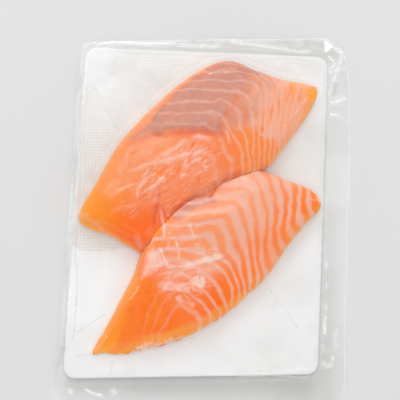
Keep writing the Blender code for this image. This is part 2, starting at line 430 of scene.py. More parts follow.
@dataclass(frozen=True)
class Fold:
    """A narrow ridge or groove along a line, in the flesh or in the film. Lengths are in millimetres.

    Args:
        line: The line's points.
        height: Its height, or its depth where it is a groove.
        width: Its half width.
        blunt: How much of its length keeps its full height, from 0 to 1.
        pale: How strongly it colours the flesh, or how strongly it paints a highlight into the film's haze
            (painted shade for the creases), from 0 to 1.
        waver: How far it wanders off its line.
    """

    line: Points
    height: float
    width: float
    blunt: float = 0.4
    pale: float = 0.0
    waver: float = 0.35

    def profile(self, points: np.ndarray, widen: float = 1.0) -> np.ndarray:
        """The fold's share of its height at each point.

        Args:
            points: Where to read it.
            widen: What its width is multiplied by.

        Returns:
            Values from 0 to 1.
        """
        line = open_curve(shape_points(self.line))
        far = (4.0 * self.width * widen + self.waver) * MM
        near = np.all((points > line.min(0) - far) & (points < line.max(0) + far), axis=1)
        result = np.zeros(len(points))
        if near.any():
            where = points[near]
            drift = np.stack([lattice_noise(where, 3.1 * MM, seed) for seed in (301, 302)], axis=1)
            gap, along = off_line(line, where + self.waver * MM * drift)
            breadth = self.width * widen * MM * (1.0 + 0.35 * lattice_noise(where, 3.4 * MM, 303))
            taper = (1.0 - self.blunt) / 2.0
            ends = smooth(0.0, taper, along) * smooth(0.0, taper, 1.0 - along)
            fullness = 0.78 + 0.22 * lattice_noise(where, 2.2 * MM, 304)
            result[near] = np.exp(-((gap / breadth) ** 2)) * ends * fullness
        return result

    def colouring(self, points: np.ndarray) -> np.ndarray:
        """How strongly the fold colours each point."""
        return self.pale * self.profile(points)


@dataclass(frozen=True)
class Pucker:
    """A patch of short fine streaks, as where stretched film is gathered. Lengths are in millimetres.

    Args:
        area: Where the streaks are.
        height: How high they stand.
        pitch: How far apart they are.
        angle: Which way they run, in degrees from across the pack.
        stretch: How much longer than wide they are.
        pale: How strongly they whiten the film as a painted highlight, from 0 to 1.
        seed: The seed of their pattern.
    """

    area: Patch
    height: float
    pitch: float
    angle: float
    stretch: float = 2.0
    pale: float = 0.0
    seed: int = 1

    def profile(self, points: np.ndarray) -> np.ndarray:
        """The streaks' share of their height at each point.

        Args:
            points: Where to read it, in metres.

        Returns:
            Values from 0 to 1.
        """
        result = self.area.at(points)
        near = result > 0.01
        where = points[near]
        where = turned(where, self.angle) / (self.stretch, 1.0)
        pitch = self.pitch * MM
        where += 0.35 * pitch * np.stack([lattice_noise(where, pitch, self.seed + k) for k in (1, 2)], 1)
        crest = np.zeros(len(where))
        for scale, share in ((1.0, 1.0), (0.55, 0.7)):
            level = lattice_noise(where, pitch * scale, self.seed + 3)
            uneven = 0.6 + 0.4 * lattice_noise(where, 1.7 * pitch, self.seed + 4)
            crest = np.maximum(crest, share * uneven * smooth(0.2, 0.75, level))
        result[near] *= np.clip(crest, 0.0, 1.0)
        return result

    def colouring(self, points: np.ndarray) -> np.ndarray:
        """How strongly the streaks whiten each point."""
        return self.pale * self.profile(points)


@dataclass(frozen=True)
class Marbling:
    """The fat lines of a portion. They pass through key lines, each with its number, and between them.

    Args:
        keys: (number, points) of each key line, with the points in millimetres.
        share: The share of the surface that is fat.
        strength: How much the lines stand out.
        waviness: How far the lines wander, in lines.
        softness: How gently a line's edge fades, in lines.
        seed: The seed of the wandering.
    """

    keys: tuple[tuple[float, Points], ...]
    share: Gradation
    strength: Gradation
    waviness: float = 0.06
    softness: float = 0.055
    seed: int = 5

    def number(self, points: np.ndarray) -> np.ndarray:
        """The line number at each point, by a thin-plate spline through the key lines.

        Args:
            points: Where to read it, in metres.

        Returns:
            The line number, whole on a fat line.
        """
        knots, values = [], []
        for number, line in self.keys:
            corners = pairs(line)
            lengths = np.linalg.norm(np.diff(corners, axis=0), axis=1)
            reach = np.concatenate([[0.0], np.cumsum(lengths)])
            wanted = np.linspace(0.0, reach[-1], max(2, int(reach[-1] / 4.0) + 1))
            for place in wanted:
                knots.append([np.interp(place, reach, corners[:, k]) for k in (0, 1)])
                values.append(number)
        knots = np.array(knots)
        values = np.array(values)
        size = len(knots)
        gap = np.linalg.norm(knots[:, None] - knots[None], axis=2)
        kernel = np.where(gap > 0, gap**2 * np.log(np.maximum(gap, 1e-9)), 0.0) + 8.0 * np.eye(size)
        plane = np.hstack([np.ones((size, 1)), knots])
        system = np.block([[kernel, plane], [plane.T, np.zeros((3, 3))]])
        weights = np.linalg.solve(system, np.concatenate([values, np.zeros(3)]))
        where = points / MM
        result = weights[size] + where @ weights[size + 1 :]
        for knot, weight in zip(knots, weights[:size]):
            gap = np.sum((where - knot) ** 2, axis=1)
            result += weight * 0.5 * gap * np.log(np.maximum(gap, 1e-12))
        return result

    def at(self, points: np.ndarray) -> np.ndarray:
        """How much of the fat line's colour each point has.

        Args:
            points: Where to read it, in metres.

        Returns:
            Values from 0 to 1.
        """
        number = self.number(points)
        number = number + self.waviness * lattice_noise(points, 5.0 * MM, self.seed)
        number = number + 0.5 * self.waviness * lattice_noise(points, 2.0 * MM, self.seed + 1)
        away = np.abs(number - np.round(number))
        half = self.share.at(points) / 2.0
        half = half * (1.0 + 0.22 * lattice_noise(points, 7.0 * MM, self.seed + 2))
        line = 1.0 - smooth(-self.softness, self.softness, away - half)
        uneven = 0.86 + 0.14 * lattice_noise(points, 3.0 * MM, self.seed + 3)
        return line * uneven * self.strength.at(points)


# ---------------------------------------------------------------- materials


class Nodes:
    """Builds one material's node tree."""

    def __init__(self, name: str) -> None:
        """Starts an empty material.

        Args:
            name: The material's name.
        """
        self.material = bpy.data.materials.new(name)
        self.material.use_nodes = True
        self.tree = self.material.node_tree
        self.tree.nodes.clear()

    def add(self, kind: str, inputs: dict[str | int, object] | None = None, **settings: object) -> Sockets:
        """Adds a node.

        Args:
            kind: The node's type.
            inputs: What its inputs get: a value each, or another node's output.
            settings: Its properties.

        Returns:
            The node's outputs.
        """
        node = self.tree.nodes.new(kind)
        for key, value in settings.items():
            setattr(node, key, value)
        for key, value in (inputs or {}).items():
            if isinstance(value, bpy.types.NodeSocket):
                self.tree.links.new(value, node.inputs[key])
            else:
                node.inputs[key].default_value = value
        return node.outputs

    def finished(self, shader: Socket) -> bpy.types.Material:
        """The material, with a shader as its surface."""
        self.add("ShaderNodeOutputMaterial", {"Surface": shader})
        return self.material

    def attribute(self, name: str) -> Socket:
        """Reads a value that the mesh carries at each point."""
        return self.add("ShaderNodeAttribute", attribute_name=name)["Fac"]

    def place(self) -> Socket:
        """The place on the object, in metres."""
        return self.add("ShaderNodeTexCoord")["Object"]

    def noise(self, size: float, detail: float = 3.0, roughness: float = 0.5) -> Socket:
        """Noise from 0 to 1, in blobs of a size, with finer layers of a roughness."""
        inputs = {"Vector": self.place(), "Scale": 1.0 / size, "Detail": detail, "Roughness": roughness}
        return self.add("ShaderNodeTexNoise", inputs)["Fac"]

    def streaks(self, width: float, stretch: float, angle: float) -> Socket:
        """Noise drawn out into streaks.

        Args:
            width: How wide a streak is, in metres.
            stretch: How many times longer than wide it is.
            angle: Its direction, in degrees from the pack's X axis.

        Returns:
            The noise, from 0 to 1.
        """
        turn = {"Vector": self.place(), "Rotation": (0.0, 0.0, math.radians(angle)),
                "Scale": (width * stretch, width, 3.0 * width)}
        turned = self.add("ShaderNodeMapping", turn, vector_type="TEXTURE")["Vector"]
        return self.add("ShaderNodeTexNoise", {"Vector": turned, "Scale": 1.0, "Detail": 1.5})["Fac"]

    def ranged(
        self, value: Socket, low: float, high: float, first: float = 0.0, last: float = 1.0
    ) -> Socket:
        """Maps low to first and high to last, smoothly, and no further."""
        inputs = {"Value": value, "From Min": low, "From Max": high, "To Min": first, "To Max": last}
        return self.add("ShaderNodeMapRange", inputs, interpolation_type="SMOOTHSTEP")["Result"]

    def maths(self, operation: str, first: object, second: object) -> Socket:
        """Combines two numbers or outputs by a Math node's operation."""
        return self.add("ShaderNodeMath", {0: first, 1: second}, operation=operation)[0]

    def mix(self, share: Socket, first: object, second: object) -> Socket:
        """Mixes two colours or outputs, with the given share of the second."""
        return self.add("ShaderNodeMix", {0: share, 6: first, 7: second}, data_type="RGBA")[2]

    def blend(self, share: Socket, first: Socket, second: Socket) -> Socket:
        """Mixes two shaders, with the given share of the second."""
        return self.add("ShaderNodeMixShader", {"Fac": share, 1: first, 2: second})[0]

    def bump(self, height: Socket, distance: float, strength: float = 1.0) -> Socket:
        """Bends the surface's normal by a height from 0 to 1, where 1 is as high as the distance."""
        inputs = {"Distance": distance, "Strength": strength, "Height": height}
        return self.add("ShaderNodeBump", inputs)["Normal"]


@dataclass(frozen=True)
class FleshFinish:
    """Raw salmon flesh, read from the values that its mesh carries.

    Args:
        name: The material's name.
        flesh: The flesh between the fat lines.
        deep: The deeper orange of thick flesh, and painted shade in folds, grooves, valleys between the
            film's creases and on the slopes down to the crease.
        thin: A painted glow of the flesh at thin edges and on steep sides, where light comes through.
        pink: Pale pinkish flesh, and painted sheen of the film over the flesh.
        fat: The fat lines.
        brown: The brown muscle under the skin, also used for painted shade in the crease at the seam.
        blood: The blood line.
        shade: The flesh in the crease between the portions.
        veil: Whitish smears of fat, and painted sheen of the film along its wrinkles.
        roughness: How matt the flesh is.
    """

    name: str
    flesh: tuple[float, ...] = srgb(254, 136, 30)
    deep: tuple[float, ...] = srgb(254, 104, 0)
    thin: tuple[float, ...] = srgb(255, 160, 24)
    pink: tuple[float, ...] = srgb(240, 172, 144)
    fat: tuple[float, ...] = srgb(234, 190, 174)
    brown: tuple[float, ...] = srgb(198, 132, 114)
    blood: tuple[float, ...] = srgb(228, 92, 62)
    shade: tuple[float, ...] = srgb(220, 82, 14)
    veil: tuple[float, ...] = srgb(248, 216, 204)
    roughness: float = 0.42

    def build(self) -> bpy.types.Material:
        """Makes the material.

        Returns:
            The material.
        """
        nodes = Nodes(self.name)
        value = nodes.attribute
        fleck = nodes.noise(2.8 * MM, 3.0, 0.6)
        fibre = nodes.noise(1.4 * MM, 3.0, 0.6)
        mottle = nodes.ranged(nodes.noise(9.0 * MM, 3.0), 0.42, 0.75, 0.0, 0.26)
        deepness = nodes.maths("ADD", value("deep"), mottle)
        deepness = nodes.maths("ADD", deepness, nodes.ranged(fleck, 0.35, 0.7, -0.12, 0.16))
        # painted shade: deep orange valleys between the film's fine creases
        broad = nodes.ranged(nodes.streaks(1.1 * MM, 6.0, 40.0), 0.34, 0.46, 0.8, 0.0)
        narrow = nodes.ranged(nodes.streaks(0.9 * MM, 6.0, 66.0), 0.3, 0.42, 0.7, 0.0)
        furrows = nodes.maths("MAXIMUM", broad, narrow)
        brown = nodes.maths("MULTIPLY", value("brown"), nodes.ranged(fleck, 0.25, 0.7, 0.66, 1.1))
        fat = nodes.maths("MULTIPLY", value("fat"), nodes.ranged(fibre, 0.25, 0.6, 0.82, 1.0))
        veil = nodes.maths("MULTIPLY", value("veil"), nodes.ranged(fibre, 0.3, 0.65, 0.6, 1.0))
        colour = self.flesh
        for share, other in (
            (deepness, self.deep), (value("thin"), self.thin), (value("pink"), self.pink),
            (nodes.maths("MULTIPLY", furrows, value("crumple")), self.deep), (brown, self.brown),
            (value("blood"), self.blood), (value("shade"), self.shade), (fat, self.fat), (veil, self.veil),
        ):  # fmt: skip
            colour = nodes.mix(share, colour, other)
        shader = nodes.add("ShaderNodeBsdfPrincipled", {
            "Base Color": colour, "Roughness": self.roughness, "Specular IOR Level": 0.08,
            "Subsurface Weight": 0.3, "Subsurface Radius": (1.0, 0.35, 0.12),
            "Subsurface Scale": 3.0 * MM, "Normal": nodes.bump(fibre, 0.10 * MM, 0.5),
        })  # fmt: skip
        return nodes.finished(shader["BSDF"])


@dataclass(frozen=True)
class BoardFinish:
    """White moulded board.

    Args:
        name: The material's name.
        colour: Its colour.
        shade: Its colour where shade is painted on it, and in its random blotches.
        pit: The painted highlight at its dimples, where the film touches them.
        roughness: How matt it is.
    """

    name: str = "white_dimpled_board"
    colour: tuple[float, ...] = srgb(244, 246, 248)
    shade: tuple[float, ...] = srgb(222, 220, 217)
    pit: tuple[float, ...] = srgb(249, 249, 248)
    roughness: float = 0.62

    def build(self) -> bpy.types.Material:
        """Makes the material.

        Returns:
            The material.
        """
        nodes = Nodes(self.name)
        # painted shade read from the mesh, with random blotches added
        blotch = nodes.ranged(nodes.noise(34.0 * MM, 2.0), 0.4, 0.65, 0.0, 0.25)
        board_shade = nodes.maths("ADD", nodes.attribute("board_shade"), blotch)
        # painted highlights at the dimples, in patches where the film lies on them
        clear = nodes.ranged(nodes.noise(16.0 * MM, 1.0), 0.4, 0.6)
        pits = nodes.maths("MULTIPLY", nodes.attribute("pit"), clear)
        colour = nodes.mix(pits, nodes.mix(board_shade, self.colour, self.shade), self.pit)
        grain = nodes.bump(nodes.noise(0.45 * MM, 2.0), 0.04 * MM, 0.6)
        inputs = {"Base Color": colour, "Roughness": self.roughness, "Normal": grain}
        return nodes.finished(nodes.add("ShaderNodeBsdfPrincipled", inputs)["BSDF"])


@dataclass(frozen=True)
class FilmFinish:
    """Clear glossy film: mostly see-through, with a reflection and a trace of haze.

    Args:
        name: The material's name.
        tint: What it lets through.
        haze: The colour of its haze.
        crease_shade: The colour of the painted shade along the film's creases.
        haze_share: How much haze it has.
        shadow: What it lets through to the surface under its steep skirt.
        gloss: How strong its reflection is, as a share of a mirror's at a glancing angle.
        roughness: How blurred its reflection is.
        dimples: Whether it shows the board's dimples where it lies on them.
    """

    name: str
    tint: tuple[float, ...] = srgb(255, 255, 255)
    haze: tuple[float, ...] = srgb(252, 252, 251)
    crease_shade: tuple[float, ...] = srgb(190, 190, 186)
    shadow: tuple[float, ...] = srgb(176, 175, 170)
    haze_share: float = 0.004
    gloss: float = 0.42
    roughness: float = 0.11
    dimples: bool = True

    def build(self) -> bpy.types.Material:
        """Makes the material.

        Returns:
            The material.
        """
        nodes = Nodes(self.name)
        value = nodes.attribute
        # fine wrinkles drawn as painted white highlights where the film is crinkled
        broad = nodes.ranged(nodes.streaks(0.9 * MM, 7.0, 36.0), 0.6, 0.72)
        narrow = nodes.ranged(nodes.streaks(0.8 * MM, 6.0, 62.0), 0.62, 0.74)
        fine = nodes.maths("MULTIPLY", nodes.maths("MAXIMUM", broad, narrow), value("crinkle"))
        # the mesh carries painted highlights and painted shade as a share of haze; fine wrinkles add
        # painted highlights
        whitened = nodes.maths("MAXIMUM", value("painted_light_share"), value("edge"))
        whitened = nodes.maths("MAXIMUM", nodes.maths("MAXIMUM", whitened, fine), self.haze_share)
        clear = nodes.add("ShaderNodeBsdfTransparent", {"Color": self.tint})[0]
        # painted shade along the creases: their haze takes the darker colour
        haze = nodes.mix(value("crease_shade"), self.haze, self.crease_shade)
        body = nodes.blend(whitened, clear, nodes.add("ShaderNodeBsdfDiffuse", {"Color": haze})[0])
        height = nodes.noise(2.6 * MM, 2.0)
        if self.dimples:
            dots = nodes.maths("MULTIPLY", value("contact"), nodes.noise(1.7 * MM, 0.0))
            height = nodes.maths("ADD", height, dots)
        normal = nodes.bump(height, 0.10 * MM, 0.8)
        mirror = {"Color": srgb(255, 255, 255), "Roughness": self.roughness, "Normal": normal}
        fresnel = nodes.add("ShaderNodeFresnel", {"IOR": 1.5, "Normal": normal})[0]
        shine = nodes.maths("MINIMUM", nodes.maths("MULTIPLY", fresnel, 2.0 * self.gloss), 1.0)
        film = nodes.blend(shine, body, nodes.add("ShaderNodeBsdfGlossy", mirror)[0])
        path = nodes.add("ShaderNodeLightPath")
        lighting = nodes.maths("MAXIMUM", path["Is Shadow Ray"], path["Is Diffuse Ray"])
        dimmed = nodes.mix(value("skirt"), srgb(255, 255, 255), self.shadow)
        unshaded = nodes.add("ShaderNodeBsdfTransparent", {"Color": dimmed})[0]
        return nodes.finished(nodes.blend(lighting, film, unshaded))


@dataclass(frozen=True)
class SurfaceFinish:
    """The plain pale surface under the pack.

    Args:
        name: The material's name.
        colour: Its colour.
    """

    name: str = "pale_surface"
    colour: tuple[float, ...] = srgb(222, 222, 222)

    def build(self) -> bpy.types.Material:
        """Makes the material.

        Returns:
            The material.
        """
        nodes = Nodes(self.name)
        inputs = {"Base Color": self.colour, "Roughness": 0.9, "Specular IOR Level": 0.1}
        return nodes.finished(nodes.add("ShaderNodeBsdfPrincipled", inputs)["BSDF"])


# ---------------------------------------------------------------- meshes


def mesh_object(name: str, points: np.ndarray, faces: list[tuple[int, ...]],
                material: bpy.types.Material) -> bpy.types.Object:
    """Makes a smooth-shaded mesh object.

    Args:
        name: The object's name.
        points: Its vertices.
        faces: Its faces, as tuples of vertex numbers.
        material: Its material.

    Returns:
        The object, linked to the scene.
    """
    mesh = bpy.data.meshes.new(name)
    mesh.from_pydata(points.tolist(), [], faces)
    mesh.update()
    mesh.materials.append(material)
    mesh.shade_smooth()
    obj = bpy.data.objects.new(name, mesh)
    bpy.context.scene.collection.objects.link(obj)
    return obj


def carry(obj: bpy.types.Object, name: str, values: np.ndarray) -> None:
    """Stores a named value at each vertex for the material to read."""
    layer = obj.data.attributes.new(name, "FLOAT", "POINT")
    layer.data.foreach_set("value", np.asarray(values, np.float32))


def grid_faces(columns: int, rows: int) -> list[tuple[int, ...]]:
    """The faces of a grid of vertices that is stored column by column.

    Args:
        columns: How many cells across.
        rows: How many cells along.

    Returns:
        The faces, facing up.
    """
    faces = []
    for i in range(columns):
        for j in range(rows):
            first = i * (rows + 1) + j
            faces.append((first, first + rows + 1, first + rows + 2, first + 1))
    return faces


# ---------------------------------------------------------------- the pack's parts


@dataclass
class Board:
    """The white board, cut a little out of square, with a fine pattern of dimples on its face.

    Args:
        corners: Its corners, in millimetres.
        base: The height of its underside.
        thickness: How thick it is.
        corner_radius: How rounded its corners are.
        edge: How far its edge is softened.
        cell: Half the spacing of its dimples.
        dimple: How deep its dimples are.
        board_shade: Where shade is painted on the board, from 0 to 1: darkest beside the upper portion's
            left flank, darker towards the top and the right, lightest at the lower left.
        deepest_shade: The patch of painted shade beside the upper portion's left flank, the darkest, with a
            clear edge.
        finish: Its material.
    """

    corners: Points = (-81, -96.8, 71.8, -91, 73.6, 104.4, -76, 101.8)
    base: float = 0.6 * MM
    thickness: float = 3.2 * MM
    corner_radius: float = 7.0 * MM
    edge: float = 0.8 * MM
    cell: float = 0.9 * MM
    dimple: float = 0.16 * MM
    board_shade: Gradation = Gradation((-60, 80, 0.5, -70, 60, 0.55, -68, 35, 0.95, -72, 12, 0.6, -62, -14, 0.5,
        -44, -29, 0.2, -70, -28, 0, -72, -44, 0, -50, -44, 0, -70, -88, 0.3, 0, -84, 0.3, 60, -60, 0.35,
        62, 40, 0.65, 68, 90, 0.5, 40, 97, 0.45, -40, 96, 0.5, -77, 96, 0.3), 9)
    deepest_shade: Patch = Patch((-79, 42, -48, 46, -60, 20, -62, 2, -40, -10, -30, -20, -44, -19.4, -79, -18.4),
        1.6, 0.8, 6, 0.95, 48)
    finish: BoardFinish = field(default_factory=BoardFinish)

    @property
    def top(self) -> float:
        """The height of its face."""
        return self.base + self.thickness

    def outline(self, inset: float = 0.0, steps: int = 10) -> np.ndarray:
        """The board's outline with its corners rounded.

        Args:
            inset: How far inside the board's edge the outline lies.
            steps: How many steps each corner has.

        Returns:
            The outline's points, anticlockwise, with each corner's arc starting at its last point.
        """
        corners = shape_points(self.corners)
        points = []
        for i, corner in enumerate(corners):
            back = corners[i - 1] - corner
            ahead = corners[(i + 1) % 4] - corner
            back /= np.linalg.norm(back)
            ahead /= np.linalg.norm(ahead)
            half = math.acos(float(back @ ahead)) / 2.0
            middle = (back + ahead) / np.linalg.norm(back + ahead)
            centre = corner + middle * (self.corner_radius / math.sin(half))
            radius = self.corner_radius - inset
            first = corner + back * self.corner_radius / math.tan(half) - centre
            last = corner + ahead * self.corner_radius / math.tan(half) - centre
            sweep = math.acos(float(first @ last) / self.corner_radius**2)
            for share in np.linspace(0.0, 1.0, steps + 1):
                arm = math.sin((1 - share) * sweep) * first + math.sin(share * sweep) * last
                points.append(centre + arm / math.sin(sweep) * radius / self.corner_radius)
        return np.array(points)

    def sides(self, inset: float, columns: int, rows: int) -> tuple[np.ndarray, ...]:
        """The four sides of the outline, split at the middles of the corners.

        Args:
            inset: How far inside the board's edge they lie.
            columns: How many steps the two short sides have.
            rows: How many steps the two long sides have.

        Returns:
            The bottom, right, top and left sides, from left to right or from bottom to top.
        """
        steps = 10
        outline = self.outline(inset, steps)
        middles = [i * (steps + 1) + steps // 2 for i in range(4)]
        sides = []
        for k, count in enumerate((columns, rows, columns, rows)):
            ring = np.roll(outline, -middles[k], axis=0)
            stop = (middles[(k + 1) % 4] - middles[k]) % len(outline)
            sides.append(spaced(ring[: stop + 1], np.linspace(0.0, 1.0, count + 1)))
        return sides[0], sides[1], sides[2][::-1], sides[3][::-1]

    def build(self) -> bpy.types.Object:
        """Makes the board.

        Returns:
            The board's object.
        """
        columns = 2 * round(150.0 * MM / self.cell / 2)
        rows = 2 * round(196.0 * MM / self.cell / 2)
        low, right, high, left = self.sides(self.edge, columns, rows)
        u = np.linspace(0.0, 1.0, columns + 1)[:, None, None]
        v = np.linspace(0.0, 1.0, rows + 1)[None, :, None]
        flat = (1 - v) * low[:, None] + v * high[:, None] + (1 - u) * left[None] + u * right[None]
        corners = (1 - u) * (1 - v) * low[0] + u * (1 - v) * low[-1]
        flat -= corners + (1 - u) * v * high[0] + u * v * high[-1]
        plan = flat.reshape(-1, 2)
        i, j = np.meshgrid(np.arange(columns + 1), np.arange(rows + 1), indexing="ij")
        dots = ((i % 2 == 0) & (j % 2 == 0)).ravel()
        border = np.minimum(np.minimum(i, columns - i), np.minimum(j, rows - j)).ravel()
        wear = 0.7 + 0.3 * lattice_noise(plan, 18.0 * MM, 41)
        heights = self.top - self.dimple * dots * wear * (border > 2)
        wave = 0.05 * MM
        heights = heights + wave * lattice_noise(plan, 26.0 * MM, 42) * smooth(0, 6, border) - wave
        points = [np.column_stack([plan, heights])]
        faces = grid_faces(columns, rows)
        index = np.arange(len(plan)).reshape(columns + 1, rows + 1)
        loop = [*index[:, 0], *index[-1, 1:], *index[-2::-1, -1], *index[0, -2:0:-1]]
        rings = [loop]
        total = len(plan)
        for inset, drop in ((0.25, 0.25), (0.0, 0.9), (0.0, 2.6), (0.3, 3.2)):
            sides = self.sides(inset * MM, columns, rows)
            ring = np.vstack([sides[0], sides[1][1:], sides[2][-2::-1], sides[3][-2:0:-1]])
            points.append(np.column_stack([ring, np.full(len(ring), self.top - drop * MM)]))
            rings.append(list(range(total, total + len(ring))))
            total += len(ring)
        for above, below in zip(rings, rings[1:]):
            for k in range(len(above)):
                n = (k + 1) % len(above)
                faces.append((int(above[k]), int(below[k]), int(below[n]), int(above[n])))
        faces.append(tuple(rings[-1][::-1]))
        corners = np.vstack(points)
        board = mesh_object("board_dimpled", corners, faces, self.finish.build())
        # painted shade on the board's face
        carry(board, "board_shade", np.maximum(self.board_shade.at(corners[:, :2]), self.deepest_shade.at(corners[:, :2])))
        # where the dimples' painted highlights go
        pits = np.zeros(len(corners))
        pits[: len(plan)] = dots * (border > 2)
        carry(board, "pit", pits)
        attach(board, BODY)
        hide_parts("board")
        return board


@dataclass
class Portion:
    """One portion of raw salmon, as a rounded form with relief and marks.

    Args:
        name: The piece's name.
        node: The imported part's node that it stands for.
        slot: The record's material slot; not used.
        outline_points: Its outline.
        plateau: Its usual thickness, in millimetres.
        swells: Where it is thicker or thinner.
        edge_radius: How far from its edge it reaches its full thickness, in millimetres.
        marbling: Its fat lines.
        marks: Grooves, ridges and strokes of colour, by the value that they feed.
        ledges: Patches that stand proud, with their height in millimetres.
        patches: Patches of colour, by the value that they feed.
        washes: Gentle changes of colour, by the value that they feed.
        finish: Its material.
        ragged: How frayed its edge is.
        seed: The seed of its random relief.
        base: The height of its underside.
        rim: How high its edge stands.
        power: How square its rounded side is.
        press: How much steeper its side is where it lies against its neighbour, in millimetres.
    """

    name: str
    node: str
    slot: str
    outline_points: np.ndarray
    plateau: float
    swells: tuple[Swell, ...]
    edge_radius: float
    marbling: Marbling
    marks: dict[str, tuple[Fold, ...]]
    ledges: tuple[tuple[float, Patch], ...]
    patches: dict[str, tuple[Patch, ...]]
    washes: dict[str, Gradation]
    finish: FleshFinish
    ragged: Gradation
    seed: int
    base: float = 4.1 * MM
    rim: float = 0.5 * MM
    power: float = 2.1
    press: float = 4.2

    def __post_init__(self) -> None:
        """Works out the outline once."""
        self.coarse = closed_curve(shape_points(self.outline_points), 220)

    def edge(self, count: int) -> np.ndarray:
        """The outline, frayed where the portion is ragged.

        Args:
            count: How many points it has.

        Returns:
            The outline's points.
        """
        ring = closed_curve(shape_points(self.outline_points), count)
        fray = 0.6 * lattice_noise(ring, 4.0 * MM, self.seed)
        fray = fray + 0.4 * lattice_noise(ring, 1.8 * MM, self.seed + 1)
        return ring + self.outward(ring) * (fray * self.ragged.at(ring) * MM)[:, None]

    def outward(self, ring: np.ndarray) -> np.ndarray:
        """The direction away from the portion at each point of a ring.

        Args:
            ring: The ring's points, running clockwise.

        Returns:
            A unit vector for each point.
        """
        ahead = np.roll(ring, -2, axis=0) - np.roll(ring, 2, axis=0)
        ahead /= np.linalg.norm(ahead, axis=1)[:, None]
        return np.stack([-ahead[:, 1], ahead[:, 0]], axis=1)

    def filled(self, ring: np.ndarray) -> tuple[np.ndarray, list[tuple[int, ...]]]:
        """Fills a ring with an even triangular lattice of points.

        Args:
            ring: The ring's points.

        Returns:
            The points, with the ring's own first, and the triangles, facing up.
        """
        pitch = 0.62 * MM
        rise = pitch * math.sqrt(0.75)
        low, high = ring.min(0), ring.max(0)
        i, j = np.meshgrid(
            np.arange(math.ceil((high[0] - low[0]) / pitch) + 1),
            np.arange(math.ceil((high[1] - low[1]) / rise) + 1),
            indexing="ij",
        )
        lattice = np.stack([low[0] + (i + 0.5 * (j % 2)) * pitch, low[1] + j * rise], -1).reshape(-1, 2)
        lattice = lattice[depth_inside(ring, lattice) > 0.3 * MM]
        loop = [(k, (k + 1) % len(ring)) for k in range(len(ring))]
        where = [Vector(point) for point in np.vstack([ring, lattice]).tolist()]
        flat, _, triangles, _, _, _ = delaunay_2d_cdt(where, loop, [], 1, 1e-8)
        return np.array([tuple(point) for point in flat]), [tuple(corners) for corners in triangles]

    def relief(self, points: np.ndarray) -> np.ndarray:
        """The height that folds, ledges, fat lines and unevenness add.

        Args:
            points: Where to read it.

        Returns:
            The added height, in metres.
        """
        total = 0.35 * MM * lattice_noise(points, 13.0 * MM, self.seed + 2)
        total += 0.10 * MM * lattice_noise(points, 4.0 * MM, self.seed + 3)
        total -= 0.16 * MM * self.marbling.at(points)
        for fold in (fold for folds in self.marks.values() for fold in folds if fold.height):
            total += fold.height * MM * fold.profile(points)
        for height, patch in self.ledges:
            total += height * MM * patch.at(points)
        return total

    def surface(self, points: np.ndarray, depth: np.ndarray) -> np.ndarray:
        """The height of the top.

        Args:
            points: Where to read it.
            depth: How far inside the outline each point lies.

        Returns:
            The height, in metres.
        """
        full = np.full(len(points), self.plateau * MM)
        for swell in self.swells:
            full += swell.at(points)
        gap, along = off_line(shape_points(SEAM), points)
        touching = smooth(0.0, 0.1, along) * smooth(0.0, 0.08, 1.0 - along)
        touching = touching * (1.0 - smooth(2.0 * MM, 8.0 * MM, gap))
        share = np.clip((depth + self.press * MM * touching) / (self.edge_radius * MM), 0.0, 1.0)
        rounded = (1.0 - (1.0 - share) ** self.power) ** (1.0 / self.power)
        relief = self.relief(points) * smooth(0.0, 3.0 * MM, depth)
        return self.base + self.rim + (full - self.rim) * rounded + relief

    def top(self, points: np.ndarray, elsewhere: float) -> np.ndarray:
        """The height of the top, for film to lie on.

        Args:
            points: Where to read it.
            elsewhere: The height to give outside the portion.

        Returns:
            The height, in metres.
        """
        depth = depth_inside(self.coarse, points)
        heights = np.full(len(points), elsewhere)
        inside = depth > 0.0
        heights[inside] = self.surface(points[inside], depth[inside])
        return heights

    def values(self, points: np.ndarray, depth: np.ndarray) -> dict[str, np.ndarray]:
        """The values that the flesh's material reads.

        Args:
            points: The vertices, in plan.
            depth: How far inside the outline each lies.

        Returns:
            The values, by name.
        """
        count = len(points)
        strokes = {key: strongest((fold.colouring(points) for fold in folds), count)
                   for key, folds in self.marks.items()}
        areas = {key: strongest((patch.at(points) for patch in patches), count)
                 for key, patches in self.patches.items()}
        none = np.zeros(count)
        fields = {}
        for key in ("deep", "pink", "thin", "brown", "blood", "shade", "veil", "fat", "crumple"):
            wash = self.washes[key].at(points) if key in self.washes else none
            fields[key] = strongest((areas.get(key, none), strokes.get(key, none)), count)
            fields[key] = np.maximum(wash, fields[key])
        streaked = strokes["deep"]
        bare = np.maximum(streaked, areas["thin"])
        fields["pink"] = fields["pink"] * (1.0 - np.clip(bare, 0.0, 1.0))
        lines = self.marbling.at(points) * (1.0 - 0.8 * np.clip(fields["blood"], 0.0, 1.0))
        lines = lines * (1.0 - 0.7 * np.clip(streaked, 0.0, 1.0))
        fields["fat"] = np.maximum(fields["fat"], lines)
        # painted glow that rises towards the edge, where the flesh is thin
        thinness = 1.0 - smooth(0.3 * MM, 3.4 * MM, depth)
        fields["thin"] = fields["thin"] + 0.5 * thinness * (1.0 - fields["brown"])
        return {key: np.clip(value, 0.0, 1.0) for key, value in fields.items()}

